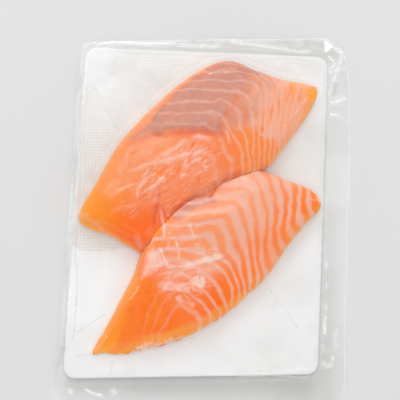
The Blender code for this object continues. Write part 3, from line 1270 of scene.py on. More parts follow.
    def build(self) -> bpy.types.Object:
        """Makes the portion.

        Returns:
            The portion's object.
        """
        around = 640
        outline = self.edge(around)
        inward = -self.outward(outline)
        steps = (0.0, 0.05, 0.12, 0.22, 0.36, 0.55, 0.8)
        levels = [outline + inward * step * MM for step in steps]
        middle, triangles = self.filled(levels[-1])
        plan = np.vstack([*levels[:-1], middle])
        depth = np.maximum(depth_inside(self.coarse, plan), 0.0)
        for ring, step in enumerate(steps[:-1]):
            depth[ring * around : (ring + 1) * around] = step * MM
        heights = self.surface(plan, depth)
        under = np.column_stack([outline, np.full(around, self.base)])
        points = np.vstack([under, np.column_stack([plan, heights])])
        faces: list[tuple[int, ...]] = [tuple(range(around))]
        for ring in range(len(levels)):
            low, high = ring * around, (ring + 1) * around
            for k in range(around):
                n = (k + 1) % around
                faces.append((low + n, low + k, high + k, high + n))
        first = len(levels) * around
        faces += [tuple(first + corner for corner in triangle) for triangle in triangles]
        portion = mesh_object(self.name, points, faces, self.finish.build())
        for key, value in self.values(plan, depth).items():
            carry(portion, key, np.concatenate([value[:around], value]))
        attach(portion, BODY)
        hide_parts(self.node)
        return portion


@dataclass
class Pouch:
    """The clear pouch: a top web drawn down over the contents and a flat bottom web, sealed all round.

    Args:
        board: The board inside it.
        portions: The portions inside it.
        folds: Wrinkles and folds in its film.
        creases: Folds with painted shade, so that they look darker than what is under them.
        puckers: Patches of fine creases in its film.
        glints: Painted highlights in its margin, where the film catches the light.
        crinkles: Patches where fine wrinkles are drawn as a painted white highlight.
        crinkles: Patches with a fine white grain of wrinkles.
        sides: Its bottom, right, top and left sides, each from its left or lower end.
        shading: How much light the margin keeps off the surface under it.
        width: How wide it is.
        length: How long it is.
        pitch: The spacing of the top web's grid.
        corner_radius: How rounded its corners are.
        gap: How far the film is drawn over what is under it.
        skirt: How far outside the board the top web reaches the bottom one.
        seal: How far from its edge the webs come together, where the board is close.
        foot_glow_share: How much painted light whitens the film round the foot of a portion, hiding the
            shade that falls on the board there.
        top_finish: The top web's material.
        bottom_finish: The bottom web's material.
    """

    board: Board
    portions: tuple[Portion, ...]
    folds: tuple[Fold, ...]
    creases: tuple[Fold, ...]
    puckers: tuple[Pucker, ...]
    glints: tuple[Patch, ...]
    crinkles: tuple[Patch, ...]
    sides: tuple[Points, Points, Points, Points] = ((-89, -117, 89, -117), (89, -117, 89, 84, 84, 110.5),
        (-79, 106.3, 73.5, 117, 84, 110.5), (-89, -117, -88.2, -98, -83.8, -76, -79, 106.3))
    shading: Gradation = Gradation((-74, 104, 0, -40, 106, 0.15, -6, 108, 0.28, 25, 110, 0.3, 60, 111, 0.36,
        74, 112, 0.36, 86, 100, 0.2, 80, 92, 0.14, 78, 60, 0.14, 78, 28, 0.06, 86, 28, 0, 78, -10, 0.2,
        87, -10, 0.04, 78, -46, 0.28, 88, -46, 0.04, 76, -73, 0.34, 86, -73, 0.16, 76, -90, 0.42,
        87, -92, 0.2, 77, -104, 0.35, 88, -106, 0.15, 61, -94, 0.58, 61, -101, 0.56, 61, -108, 0.34,
        31, -96, 0.58, 31, -101, 0.5, 31, -107, 0.22, 0, -100, 0.6, 0, -105, 0.36, 0, -110, 0.1,
        -29, -101, 0.64, -29, -105.5, 0.34, -29, -110, 0.06, -58, -101, 0.56, -58, -105, 0.3,
        -58, -110, 0.05, -73, -102, 0.5, -73, -106, 0.2, -73, -110, 0.05, -84, -96, 0.16, -86, -106, 0.05,
        -84, -80, 0.16, -82, -60, 0.05, -80, 0, 0, -78, 60, 0), 3.6)
    width: float = 178.0 * MM
    length: float = 234.0 * MM
    pitch: float = 0.64 * MM
    corner_radius: float = 4.0 * MM
    gap: float = 0.14 * MM
    skirt: float = 3.0 * MM
    seal: float = 2.4 * MM
    foot_glow_share: float = 0.08
    top_finish: FilmFinish = field(default_factory=lambda: FilmFinish("clear_film_top"))
    bottom_finish: FilmFinish = field(
        default_factory=lambda: FilmFinish("clear_film_bottom", haze_share=0.25, dimples=False)
    )

    def warped(self, points: np.ndarray) -> np.ndarray:
        """Maps a plain rectangle of the pouch's width and length to the outline that its sides make.

        Args:
            points: Points in the rectangle.

        Returns:
            Where they lie within the sides.
        """
        u, v = points[:, 0] / self.width + 0.5, points[:, 1] / self.length + 0.5
        lines = [shape_points(side) for side in self.sides]
        low, right, high, left = (spaced(line, share) for line, share in zip(lines, (u, v, u, v)))
        u, v = u[:, None], v[:, None]
        below = (1 - u) * lines[0][0] + u * lines[0][-1]
        above = (1 - u) * lines[2][0] + u * lines[2][-1]
        return (1 - v) * (low - below) + v * (high - above) + (1 - u) * left + u * right

    def plan(self, pitch: float) -> tuple[np.ndarray, np.ndarray, int, int]:
        """The web's grid of points in plan, with rounded corners and slightly uneven edges.

        Args:
            pitch: The spacing of the grid.

        Returns:
            The points, how far each is from the web's edge, and how many cells there are across and along.
        """
        columns, rows = round(self.width / pitch), round(self.length / pitch)
        xs = np.linspace(-self.width / 2.0, self.width / 2.0, columns + 1)
        ys = np.linspace(-self.length / 2.0, self.length / 2.0, rows + 1)
        points = np.stack(np.meshgrid(xs, ys, indexing="ij"), axis=-1).reshape(-1, 2)
        half = np.array((self.width, self.length)) / 2.0
        close = np.min(half - np.abs(points), axis=1)
        inner = half - self.corner_radius
        corner = np.clip((np.abs(points) - inner) / self.corner_radius, 0.0, 1.0)
        disc = corner * np.sqrt(1.0 - corner[:, ::-1] ** 2 / 2.0)
        points = np.sign(points) * np.where(corner > 0.0, inner + disc * self.corner_radius, np.abs(points))
        points = self.warped(points)
        near = 1.0 - smooth(0.0, 5.0 * MM, close)
        for axis in (0, 1):
            wobble = lattice_noise(points, 24.0 * MM, 61 + axis) + 0.4 * lattice_noise(points, 9.0 * MM, 63)
            points[:, axis] += 0.5 * MM * wobble * near
        return points, close, columns, rows

    def margin(self, points: np.ndarray) -> tuple[np.ndarray, np.ndarray]:
        """The sealed margin round the board.

        Args:
            points: Where to read it.

        Returns:
            How far each point is outside the board, and the height of the margin's waves there.
        """
        outside = -depth_inside(self.board.outline(), points)
        waves = 0.55 * lattice_noise(points, 17.0 * MM, 71) + 0.5 * facet_noise(points, 8.0 * MM, 28.0, 72)
        waves += 0.25 * facet_noise(points, 3.6 * MM, -17.0, 73)
        rise = (0.75 + 0.75 * waves) * smooth(0.5 * MM, 5.0 * MM, outside)
        return outside, np.maximum(rise, 0.0) * MM

    def heights(self, points: np.ndarray, close: np.ndarray, columns: int, rows: int) -> np.ndarray:
        """The top web's height.

        Args:
            points: The grid's points in plan.
            close: How far each point is from the web's edge.
            columns: How many cells it has across.
            rows: How many cells it has along.

        Returns:
            The height at each point.
        """
        outside, waves = self.margin(points)
        floor = 0.35 * MM + waves
        fall = 0.5 + 0.5 * np.cos(math.pi * np.clip(outside / self.skirt, 0.0, 1.0))
        contents = floor + (self.board.top + self.gap - floor) * fall
        for portion in self.portions:
            contents = np.maximum(contents, portion.top(points, 0.0) + self.gap)
        grid = contents.reshape(columns + 1, rows + 1)
        tent = blurred(widened(grid, 1), max(1, round(1.3 * MM / self.pitch)))
        draped = np.maximum(grid, tent)
        draped = np.maximum(grid, blurred(draped, 1)).ravel()
        loose = 0.10 * MM * lattice_noise(points, 6.0 * MM, 81) + 0.10 * MM
        draped += loose * smooth(0.0, 2.0 * MM, -outside)
        for mark in (*self.folds, *self.creases, *self.puckers):
            draped += mark.height * MM * mark.profile(points)
        return floor + (np.maximum(draped, contents) - floor) * smooth(0.0, self.seal, close)

    def build_top(self) -> bpy.types.Object:
        """Makes the top web.

        Returns:
            The top web's object.
        """
        points, close, columns, rows = self.plan(self.pitch)
        heights = self.heights(points, close, columns, rows)
        web = mesh_object("film_top_web", np.column_stack([points, heights]), grid_faces(columns, rows),
                          self.top_finish.build())
        count = len(points)
        outside = self.margin(points)[0]
        depth = np.maximum(*(depth_inside(portion.coarse, points) for portion in self.portions))
        # painted light round each portion's foot, except along the seam, which hides the shade that falls
        # on the board there
        foot = smooth(-4.0 * MM, -0.2 * MM, depth) * (1.0 - smooth(-0.2 * MM, 1.0 * MM, depth))
        away = off_line(shape_points(SEAM), points)[0]
        foot = self.foot_glow_share * foot * smooth(1.5 * MM, 4.0 * MM, away)
        marks = [mark.colouring(points) for mark in (*self.folds, *self.puckers)]
        creases = [crease.colouring(points) for crease in self.creases]
        glints = [glint.at(points) for glint in self.glints]
        steep = 0.6 + 0.4 * smooth(0.5 * MM, 3.0 * MM, outside)
        over = smooth(-2.0 * MM, 1.0 * MM, depth)
        carry(web, "contact", smooth(0.0, 3.0 * MM, -outside) * (1.0 - over))
        # painted highlights of the folds, puckers and glints, painted light round the portions' feet, and
        # the share of the creases' painted shade
        carry(web, "painted_light_share", strongest((*marks, *glints, foot, *creases), count))
        # painted shade along the creases
        carry(web, "crease_shade", strongest((smooth(0.0, 0.05, crease) for crease in creases), count))
        carry(web, "crinkle", strongest((patch.at(points) for patch in self.crinkles), count))
        carry(web, "skirt", smooth(-1.0 * MM, 0.5 * MM, outside) * steep * self.shading.at(points))
        carry(web, "edge", self.sealed_edge(points, close))
        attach(web, BODY)
        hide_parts("film_top")
        return web

    def sealed_edge(self, points: np.ndarray, close: np.ndarray) -> np.ndarray:
        """The share of haze at each point, which is denser near the web's cut edge."""
        clear = 0.06 + 0.24 * smooth(-80.0 * MM, -70.0 * MM, points[:, 0])
        return clear * (1.0 - smooth(0.0, 1.3 * MM, close))

    def build_bottom(self) -> bpy.types.Object:
        """Makes the bottom web.

        Returns:
            The bottom web's object.
        """
        points, close, columns, rows = self.plan(2.0 * self.pitch)
        heights = np.full(len(points), 0.1 * MM) + self.margin(points)[1]
        web = mesh_object("film_bottom_web", np.column_stack([points, heights]),
                          grid_faces(columns, rows), self.bottom_finish.build())
        carry(web, "edge", self.sealed_edge(points, close))
        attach(web, BODY)
        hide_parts("film_bottom")
        return web


# ---------------------------------------------------------------- the pack's own marks and outlines


SEAM: Points = (-37.6, -21, -33, -15.7, -30.8, -10.7, -28.4, -7.2, -25.4, -4.2, -20.6, 1.2, -15.9, 6,
    -11.9, 9.1, -7.2, 11.3, -2.7, 12.2, 0.6, 12.2, 3, 13.8, 4.6, 17.2, 8.7, 21.3, 14, 24.2, 19.9, 26.8,
    26.5, 29.4, 33, 31)
SEAM_GAP = 0.1

UPPER_RIM: Points = (-46.5, -17, -58, -11.6, -70, -7.6, -75.4, -3.4, -74.6, 3, -65.2, 21.3, -54.2, 42.5,
    -36.2, 64.6, -15.6, 84.3, 2.4, 95.6, 13, 97.6, 29, 92.4, 47, 87.6, 60.5, 86, 66.6, 83.6, 66, 77,
    61.2, 66.8, 46, 44.4, 38, 34)

LOWER_RIM: Points = (42, 28.6, 51.5, 25, 61, 22.2, 67.6, 18.2, 71, 12, 61.2, -0.8, 51.8, -12.6, 39.2, -32,
    28.2, -43.4, 15.2, -55.2, -1.4, -66, -18.6, -74.2, -34, -78, -48, -81.6, -57, -81.2, -63.8, -81.4,
    -62.6, -77, -56.8, -66.6, -48.8, -49.4, -41.8, -34.4)

UPPER_FAT_LINES = (
    (0, (-18.2, 54.5, -3.5, 55, 4.3, 50.6, 9.4, 42.6, 13, 32.3)),
    (1, (-30, 61.4, -18.4, 62, 2.8, 63.1, 7.9, 58, 12.3, 51.2, 16.9, 45.2, 20.8, 34.5)),
    (2, (-25, 68, -18.6, 68.7, 6.8, 70.1, 14.1, 65.9, 18, 56.8, 21.8, 45.1, 23.3, 37.1)),
    (3, (-14.6, 75.7, 17, 77.2, 23.2, 72.5, 25.2, 61.3, 25.6, 45.2, 27.3, 33.4)),
    (4, (-8.8, 82, 21.8, 83.4, 28.1, 79.7, 30.1, 69.3, 29.1, 54, 30, 36.3)),
    (5, (1.8, 88, 18.1, 88.7, 27.2, 87.7, 32.7, 82.3, 33.2, 67.8, 32.6, 51.2, 33.1, 39.4)),
    (6, (30.7, 87.2, 36.9, 81.8, 37.3, 67.8, 36.6, 47.6, 36.4, 40.8)),
    (7, (39, 84.8, 39.2, 73.3, 39.1, 56, 39.8, 45.9)),
    (8, (44.9, 84.9, 44, 73.8, 41.6, 58, 41.2, 49)),
    (9, (53.6, 86.1, 51.1, 74.5, 47.3, 61.6, 45, 52.3)),
)

LOWER_FAT_LINES = (
    (1, (-14.7, -48.5, -19.5, -56.4, -22.9, -64.4, -26.3, -68.2)),
    (1, (-11.4, -52.1, -3.7, -56.6, -1.2, -61.3, -2.6, -67.3)),
    (2, (-18, -44, -24, -49.9, -27.8, -58.8, -29.5, -68.3)),
    (2, (-7.1, -46.4, -1.5, -48.9, 3.8, -55.4, 4.9, -59.8)),
    (3, (-20.6, -31.4, -25.4, -41.6, -33.1, -55.4, -34.7, -65.9, -35, -72.7)),
    (3, (-8.9, -36.9, -1.9, -41.3, 4, -47, 8.9, -53.1, 10.7, -57.7)),
    (4, (-6.1, -28.5, 2.1, -34.5, 8.8, -41.6, 13.8, -50.3)),
    (5, (-16.1, -18.7, -3.1, -18.2, -1.3, -23.2, 4.7, -25.9, 11.6, -32.1, 16.4, -40.8, 16.6, -49.7)),
    (6, (-22.5, -12.6, -7.5, -11.1, 1.9, -10.2, 5.1, -20.6, 15.3, -28.4, 19.8, -38, 21.2, -47.3)),
    (7, (-24.6, -5.1, -6.8, -4.3, 7.9, -1, 12.7, -13.9, 18.7, -25.8, 23, -37.1, 25.2, -47.5)),
    (8, (-15.9, 2, -4.8, 2.7, 4.6, 4.6, 14.1, 6.6, 19.3, -5.8, 23.8, -17.6, 26.5, -29.9, 27.5, -41.2)),
    (9, (-4, 9.5, 4.8, 12.3, 20.4, 15.3, 24.4, 2.8, 27.8, -14.4, 30.4, -28.9)),
    (10, (10.7, 20.6, 24.3, 23.3, 29.1, 15.1, 32.6, -0.8, 32.8, -14.1, 32.7, -23.9, 36.1, -30.2)),
    (11, (32.3, 25.7, 36.3, 14.1, 38.6, 5.8, 38.4, -4, 37.3, -13.9, 38.6, -18.8, 42.7, -21.6)),
    (12, (40.9, 23.7, 43, 17, 44.2, 8.6, 43, -1.4, 42.7, -8.8, 46.4, -14.1)),
    (13, (48.4, 21.4, 50.4, 13.9, 49, 3.8, 48.7, -2.6, 52.5, -7.3)),
    (14, (56.2, 22, 56.2, 15.2, 54.8, 6.6, 55.5, 1.7, 60.2, -0.9)),
    (15, (61.9, 19.2, 61.6, 12, 64.3, 6.7)),
)


def shifted_seam(offset: float) -> np.ndarray:
    """The seam's points, moved sideways.

    Args:
        offset: How far, in millimetres: to the upper portion's side if it is positive.

    Returns:
        The moved points.
    """
    line = pairs(SEAM)
    ahead = np.gradient(line, axis=0)
    ahead /= np.linalg.norm(ahead, axis=1)[:, None]
    return line + offset * np.stack([-ahead[:, 1], ahead[:, 0]], axis=1)


UPPER_FLANK: Points = (-60, 10, -50, 34, -40, 46, -20, 49, 2, 47, 10, 38, 4, 24, -10, 14, -24, 4, -44, 0)


def crumpled_upper(strength: float) -> tuple[Patch, ...]:
    """Where the film is finely crumpled over the upper portion.

    Args:
        strength: How strong the strongest patch is.

    Returns:
        The patches.
    """
    middle = (-42, 12, -40, 30, -26, 38, -8, 44, 2, 36, -4, 24, -16, 18, -28, 10)
    crease = (-24, 12, -14, 24, 4, 34, 12, 36, 8, 22, -6, 14, -20, 2)
    return (
        Patch(UPPER_FLANK, 5, 2, 7, 0.36 * strength, 501),
        Patch(middle, 4, 3, 5, strength, 503),
        Patch(crease, 3, 2, 5, 0.6 * strength, 505),
    )


def crumpled_lower(strength: float) -> tuple[Patch, ...]:
    """Where the film is finely crumpled over the lower portion.

    Args:
        strength: How strong the patches are.

    Returns:
        The patches.
    """
    seam = (-32, -20, -24, -4, -10, 8, 4, 14, 12, 8, 0, -6, -14, -22)
    foam = (-26, -43, -24, -32, -8, -29, 2, -30, 0, -40, -8, -47)
    return (Patch(seam, 4, 3, 5, 0.5 * strength, 507), Patch(foam, 3, 3, 4, strength, 509))


def upper_portion() -> Portion:
    """The portion with the brown muscle and the fat lines at its right.

    Returns:
        The portion, ready to build.
    """
    brown = Patch((-46, 46, -42, 46.8, -38, 48, -29.7, 49, -18.7, 50.8, -3.4, 51.4, 4.5, 51.8, 8.7, 61.3,
        12.4, 70, 19.7, 79.5, 23.9, 86, 32, 88.5, 31, 92, 13, 97.6, 1, 93.6, -7, 87.6, -15.4, 81.4,
        -27.4, 69, -36.4, 57.6, -46.4, 46.4), 2.6, 1.6, 5, 0.96, 11)
    tan = Patch((0, 52, 7, 50.5, 16, 54, 23, 58, 27.5, 68, 30.5, 79, 38, 84.5, 37, 90, 20, 92, 8, 80,
        2, 64), 5, 2.6, 5, 0.55, 14)
    blood = Patch((-49, 40.6, -44, 42.4, -36, 45.4, -27, 46.8, -18, 48.6, -3.4, 49.6, 7, 49.4, 7, 51.6,
        -3.4, 52.4, -18, 51.6, -27.5, 49.6, -36, 48, -44, 45), 2, 0.7, 3, 0.52, 12)
    pink = Patch((21.6, 55.5, 29.1, 55.8, 31.9, 50.8, 38.5, 49.3, 41.9, 45.2, 45.2, 44.5, 45.9, 51.5,
        50, 62, 54, 68, 56, 73.5, 57.6, 82, 55, 85.4, 40, 87.6, 33, 86, 27, 79, 23, 68), 1.8, 1.8, 3, 0.92,
        13)
    between = Patch((8, 52.6, 16, 53, 24, 54, 31, 52.6, 36, 60, 36, 78, 30, 86, 22, 80, 14, 70, 9, 60), 2.6,
        1.6, 4, 0.62, 17)
    # painted shade in the crease along the seam, in the brown colour
    seam_shade = Patch((-14, 9.6, -6, 13, 0.6, 13.4, 3, 16.4, 8, 21.6, 16, 26, 14, 28, 6, 25, 0, 20, -8, 15.6),
        1.8, 0.8, 3, 0.4, 19)
    corner = Patch((59.6, 81.9, 64, 83.4, 66.4, 81.6, 64.6, 75.3, 60.8, 74.4), softness=1, raggedness=0.5,
        strength=1)
    flank = Patch((-75.4, -1, -65.2, 21.3, -54.2, 42.5, -47, 51, -44, 47, -50, 36, -57, 20, -64, 4), 3.4, 1,
        5, 0.26, 18)
    spot = Patch((49.6, 86.6, 52.6, 86.6, 52, 80, 50.2, 76.4, 48.8, 79.8), 0.8, 0.7, 2, 0.7, 15)
    border = Patch((57.7, 73.5, 60.6, 74.5, 67, 78, 61.2, 66.8, 53, 54.8, 46, 44.4, 38, 34, 33, 36, 43, 46,
        51.5, 59.5, 57.2, 66), 1.6, 0.8, 3, 0.42, 16)
    marbling = Marbling(UPPER_FAT_LINES, share=Gradation((-10, 72, 0.17, 10, 82, 0.17, 15, 40, 0.26,
        30, 42, 0.24, 30, 65, 0.3, 40, 62, 0.5, 42, 78, 0.5, 52, 76, 0.5, -40, 30, 0.1), 8),
        strength=Gradation((-10, 72, 0.6, 10, 84, 0.6, 15, 40, 0.6, 30, 42, 0.8, 24, 60, 0.5, 40, 60, 0.35,
        42, 78, 0.3, 56, 78, 0.1, -25, 60, 0.4, -15, 40, 0, -40, 30, 0, -10, 20, 0, 3, 38, 0.35,
        -40, 50, 0.1, 10, 62, 0.4, 10, 26, 0.2), 7), waviness=0.16, softness=0.1, seed=21)
    # dents in the flesh with painted shade along them, and painted shade strokes on the lower slopes and by
    # the pinch
    grooves = (
        Fold((-28.8, 17.6, -28.7, 14.2, -28.7, 9.8), -0.5, 1.6, 0.6, 0.8),
        Fold((-29.7, 9.8, -30.3, 5.8, -31.4, -1.6, -32.3, -9.9, -31.9, -13.8), -1.2, 0.9, 0.7, 1),
        Fold((-29.2, 5.9, -29.7, 1.5, -29.8, -2.4, -29.7, -7.3), -0.7, 0.7, 0.7, 0.9),
        Fold((-26.6, 8.5, -24.7, 4.6, -22.9, 0.7, -21, -1.6), -0.8, 0.8, 0.7, 0.9),
        Fold((-6.6, 28.9, -6.7, 24.9, -6.3, 20.5, -6, 16.5), -0.5, 1.3, 0.5, 0.75),
        Fold((-9.9, 45.1, -10.1, 42.2, -9.7, 39.7), -0.3, 1.2, 0.5, 0.7),
        Fold((-32.8, 23.7, -30, 26.7, -26.1, 29.4, -23.3, 31), -0.35, 1.5, 0.5, 0.65),
        Fold((-23.5, 35.3, -19.7, 38.4, -16.4, 41.8), -0.3, 1.3, 0.5, 0.6),
        Fold((-39, 8.9, -35.2, 12, -31.3, 13.1), -0.3, 1.8, 0.5, 0.6),
        Fold((-44.5, 38.6, -46.5, 33, -47.6, 28), -0.2, 1, 0.5, 0.55),
        Fold((-38, -6, -34, -11, -36, -15), 0, 3.6, 0.5, 1),
        Fold((-58, 1, -48, -3, -42, -8, -38, -13), 0, 5, 0.6, 0.9),
        Fold((-31, 10, -32.4, 4, -34.6, -4, -36, -12), -0.3, 2.2, 0.6, 0.9),
        Fold((50.6, 77.9, 48.7, 70.3, 46.8, 60.9, 45, 53.3), -0.1, 0.6, 0.6, 0.7),
        Fold((54.2, 78.5, 53.7, 72.3), 0, 0.8, 0.5, 0.9),
        Fold((56.6, 84.6, 55.4, 79, 54.8, 74), 0, 0.8, 0.5, 0.8, 0.3),
        Fold((52.4, 84, 50.8, 78, 49.4, 71), 0, 0.7, 0.5, 0.9, 0.3),
        Fold((46.4, 84.6, 45.4, 78, 44.6, 70), 0, 0.7, 0.5, 0.8, 0.3),
        Fold((31, 67.5, 31.2, 62, 31.3, 50.8), 0, 0.7, 0.6, 0.9),
        Fold((26.9, 66.5, 27, 60.8), 0, 0.9, 0.5, 0.9),
        Fold((21, 66, 20, 60, 21, 56), 0, 1.6, 0.5, 0.5),
        Fold((41, 78, 41.5, 71.8, 41.7, 68, 41.2, 62.4), -0.15, 0.7, 0.6, 0.9, 0.2),
        Fold((37.6, 72, 36.5, 65, 35.8, 56.6), -0.15, 0.75, 0.6, 0.95, 0.2),
        Fold((34.2, 70, 33.6, 62, 33.8, 54), 0, 0.5, 0.6, 0.6, 0.2),
        Fold((49.6, 86, 48.6, 80.6, 47.1, 76.2, 46, 71), -0.15, 0.8, 0.7, 0.95, 0.2),
        Fold((44.6, 80, 44.2, 70, 43.2, 60, 42.4, 52), 0, 0.5, 0.7, 0.7, 0.2),
        Fold((38.8, 84, 38.4, 77), 0, 0.6, 0.6, 0.5, 0.2),
        Fold((-52.4, 40, -57, 31, -62.6, 22, -67, 14), -0.1, 0.7, 0.6, 0.4, 0.2),
        Fold((-47.4, 35, -51.6, 26, -56, 19), -0.1, 0.6, 0.6, 0.3, 0.2),
    )
    red_lines = (
        Fold((41.2, 74, 41.7, 68), 0, 0.5, 0.5, 0.4, 0.2),
        Fold((37, 69, 36.3, 62), 0, 0.5, 0.5, 0.4, 0.2),
        Fold((-46, 43.4, -38, 45.4, -30, 48, -20, 50.2, -6, 50.8), 0, 0.6, 0.7, 0.4, 0.3),
    )
    shadows = (
        Fold((-22, 1.6, -15, 7.8, -9, 12, -3, 14.2, 1, 14.4), 0, 2.6, 0.7, 0.42),
        Fold((-22.6, -1.6, -20, 1.9, -15.6, 7, -11, 10.2, -6, 12.2, -1, 12.8), -0.3, 1.6, 0.7, 0.95, 0.2),
        Fold((2.6, 13, 3.8, 17, 6.6, 20.8, 11, 24.4, 17, 27.4, 24, 30.2), -0.2, 1.3, 0.6, 0.8, 0.25),
        Fold((1.6, 12.6, 2, 15.2, -0.6, 19.6), -0.7, 0.8, 0.7, 0.8),
        Fold((3, 15.4, 4.4, 18.6, 2.8, 22.6), -0.5, 0.6, 0.6, 0.6),
        Fold((1, 17, 5.4, 20.8, 11.6, 24.6, 19, 28), 0, 2.4, 0.7, 0.42),
        Fold((18, 28, 25, 31, 31, 33), 0, 1, 0.5, 0.2),
        Fold((-40, 46.2, -34, 48, -27.2, 49), 0, 0.6, 0.5, 0.3),
        Fold((-29.2, 10.6, -29.6, 5.4, -30.6, -1.6, -31.8, -9), 0, 1, 0.7, 0.85, 0.15),
        Fold((-44, -13.6, -38, -16.4, -34.4, -15, -32.6, -10), 0, 2.6, 0.6, 0.42, 0.2),
        Fold((-29.6, 17, -29.4, 14, -29.8, 10), -0.4, 1, 0.6, 0.5, 0.2),
        Fold((-28.6, 8, -28.3, 2, -28.4, -5), -0.3, 0.8, 0.7, 0.6, 0.15),
        Fold((-27.6, 8, -25.4, 3, -23.2, -0.6, -22.6, -2.6), 0, 0.9, 0.7, 0.8, 0.15),
        Fold((-23.6, -1.8, -21, 2.4, -16.4, 7, -11, 10.8), -0.3, 0.8, 0.7, 0.8, 0.2),
        Fold((-29.1, 19.6, -29.2, 15, -29.6, 10), 0, 1.4, 0.5, 0.6, 0.2),
        Fold((-6.8, 29.8, -6.6, 24, -6.2, 18), 0, 0.7, 0.5, 0.45, 0.2),
        Fold((-39.6, 19.6, -36.4, 24.4, -31.4, 28.4, -25.4, 31), -0.3, 0.8, 0.6, 0.4, 0.2),
        Fold((13.8, 88.6, 17, 87.6, 20.4, 86.4), 0, 0.7, 0.5, 0.35, 0.2),
    )
    # painted sheen: pale strokes under the film's wrinkles
    pale_lines = (
        Fold((-48.2, 38.4, -50.5, 26.7, -56.5, 15.8), 0.3, 1.3, 0.5, 0.12),
        Fold((-50.9, 25.7, -45.1, 26.9, -39.8, 28.6, -33.1, 30.9, -26.8, 32.7, -20.5, 34.4,
            -12.3, 37.3, -1.5, 39.5), 0.15, 1.3, 0.5, 0.3),
        Fold((-30.3, 33.5, -24.5, 37.7, -18.3, 41.9, -15.2, 44.5, -12, 43), 0.15, 1.1, 0.6, 0.3),
        Fold((-35.4, 14.7, -30.7, 19.3, -24.7, 23.8), 0.3, 1.5, 0.5, 0.35),
        Fold((-55.2, 12.5, -48.1, 16.7, -40.4, 19.5), 0.1, 1, 0.5, 0.2),
        Fold((-56.4, 0.4, -53.3, 3.4, -49.5, 5.1, -38.9, 7), 0.1, 1.2, 0.5, 0.16),
        Fold((-11.7, 47.8, -4.3, 47.4, 1.7, 44.7), 0.2, 1.2, 0.5, 0.35),
        Fold((-3.6, 32.8, -2.5, 29.4, -1.5, 27), 0.1, 1.3, 0.5, 0.3),
        Fold((-36, 24, -39.9, 18.4, -41.3, 11), 0.2, 1.3, 0.5, 0.2),
    )
    return Portion(
        name="salmon_upper_flesh",
        node="salmon_upper",
        slot="raw_salmon",
        outline_points=np.vstack([shifted_seam(SEAM_GAP / 2)[::-1], pairs(UPPER_RIM)]),
        plateau=10,
        swells=(Swell(6, 55, 6, 26), Swell(-26, 28, 3.2, 20), Swell(-58, 4, 1.2, 12),
                Swell(62, 80, -4.6, 17), Swell(-33, 0, -3.4, 8)),
        edge_radius=10.5,
        marbling=marbling,
        marks={"deep": grooves, "blood": red_lines, "shade": shadows, "veil": pale_lines},
        ledges=((0.45, brown), (0.25, pink)),
        patches={
            "brown": (brown, tan, seam_shade),
            "blood": (blood,),
            "pink": (pink, between),
            "crumple": crumpled_upper(0.7),
            "thin": (corner, border, spot, flank),
        },
        washes={
            # the deep wash is partly painted shade, strongest on the lower slopes and by the pinch and the
            # crease
            "deep": Gradation((-64, 2, 0.15, -48, -8, 1, -38, -10, 1.1, -55, 18, 0.15, -30, 30, 0.2,
                -40, 40, 0.35, 0, 30, 0.4, 25, 40, 0.3, 10, 75, 0.3, 50, 75, 0.1, -30, 5, 0.7, -50, 4, 0.55,
                -26, 12, 0.6, -12, 22, 0.45, 14, 32, 0.5), 8),
            "thin": Gradation((-70, -2, 0.7, -56, 10, 0.3, -45, 30, 0.2, 0, 30, 0, -50, -8, 0, 30, 40, 0.1,
                60, 80, 0.45, -40, 5, 0, -62, -6, 0.4), 9),
            # over the middle and the left the pink is painted sheen of the film; at the right it is the
            # flesh's own pink
            "pink": Gradation((-20, 25, 0.32, 0, 20, 0.34, -38, 24, 0.36, 50, 70, 0.7, -60, 0, 0,
                -10, 42, 0.34, 25, 42, 0.16, -44, 40, 0.45, -52, 22, 0.32, -44, -4, 0, 14, 36, 0.22,
                -20, 8, 0.3, -42, 8, 0.14), 8),
        },
        finish=FleshFinish("raw_salmon_flesh"),
        ragged=Gradation((-60, 10, 0.1, 0, 90, 0.25, 50, 60, 0.3, -50, -15, 0.25), 20),
        seed=101,
    )


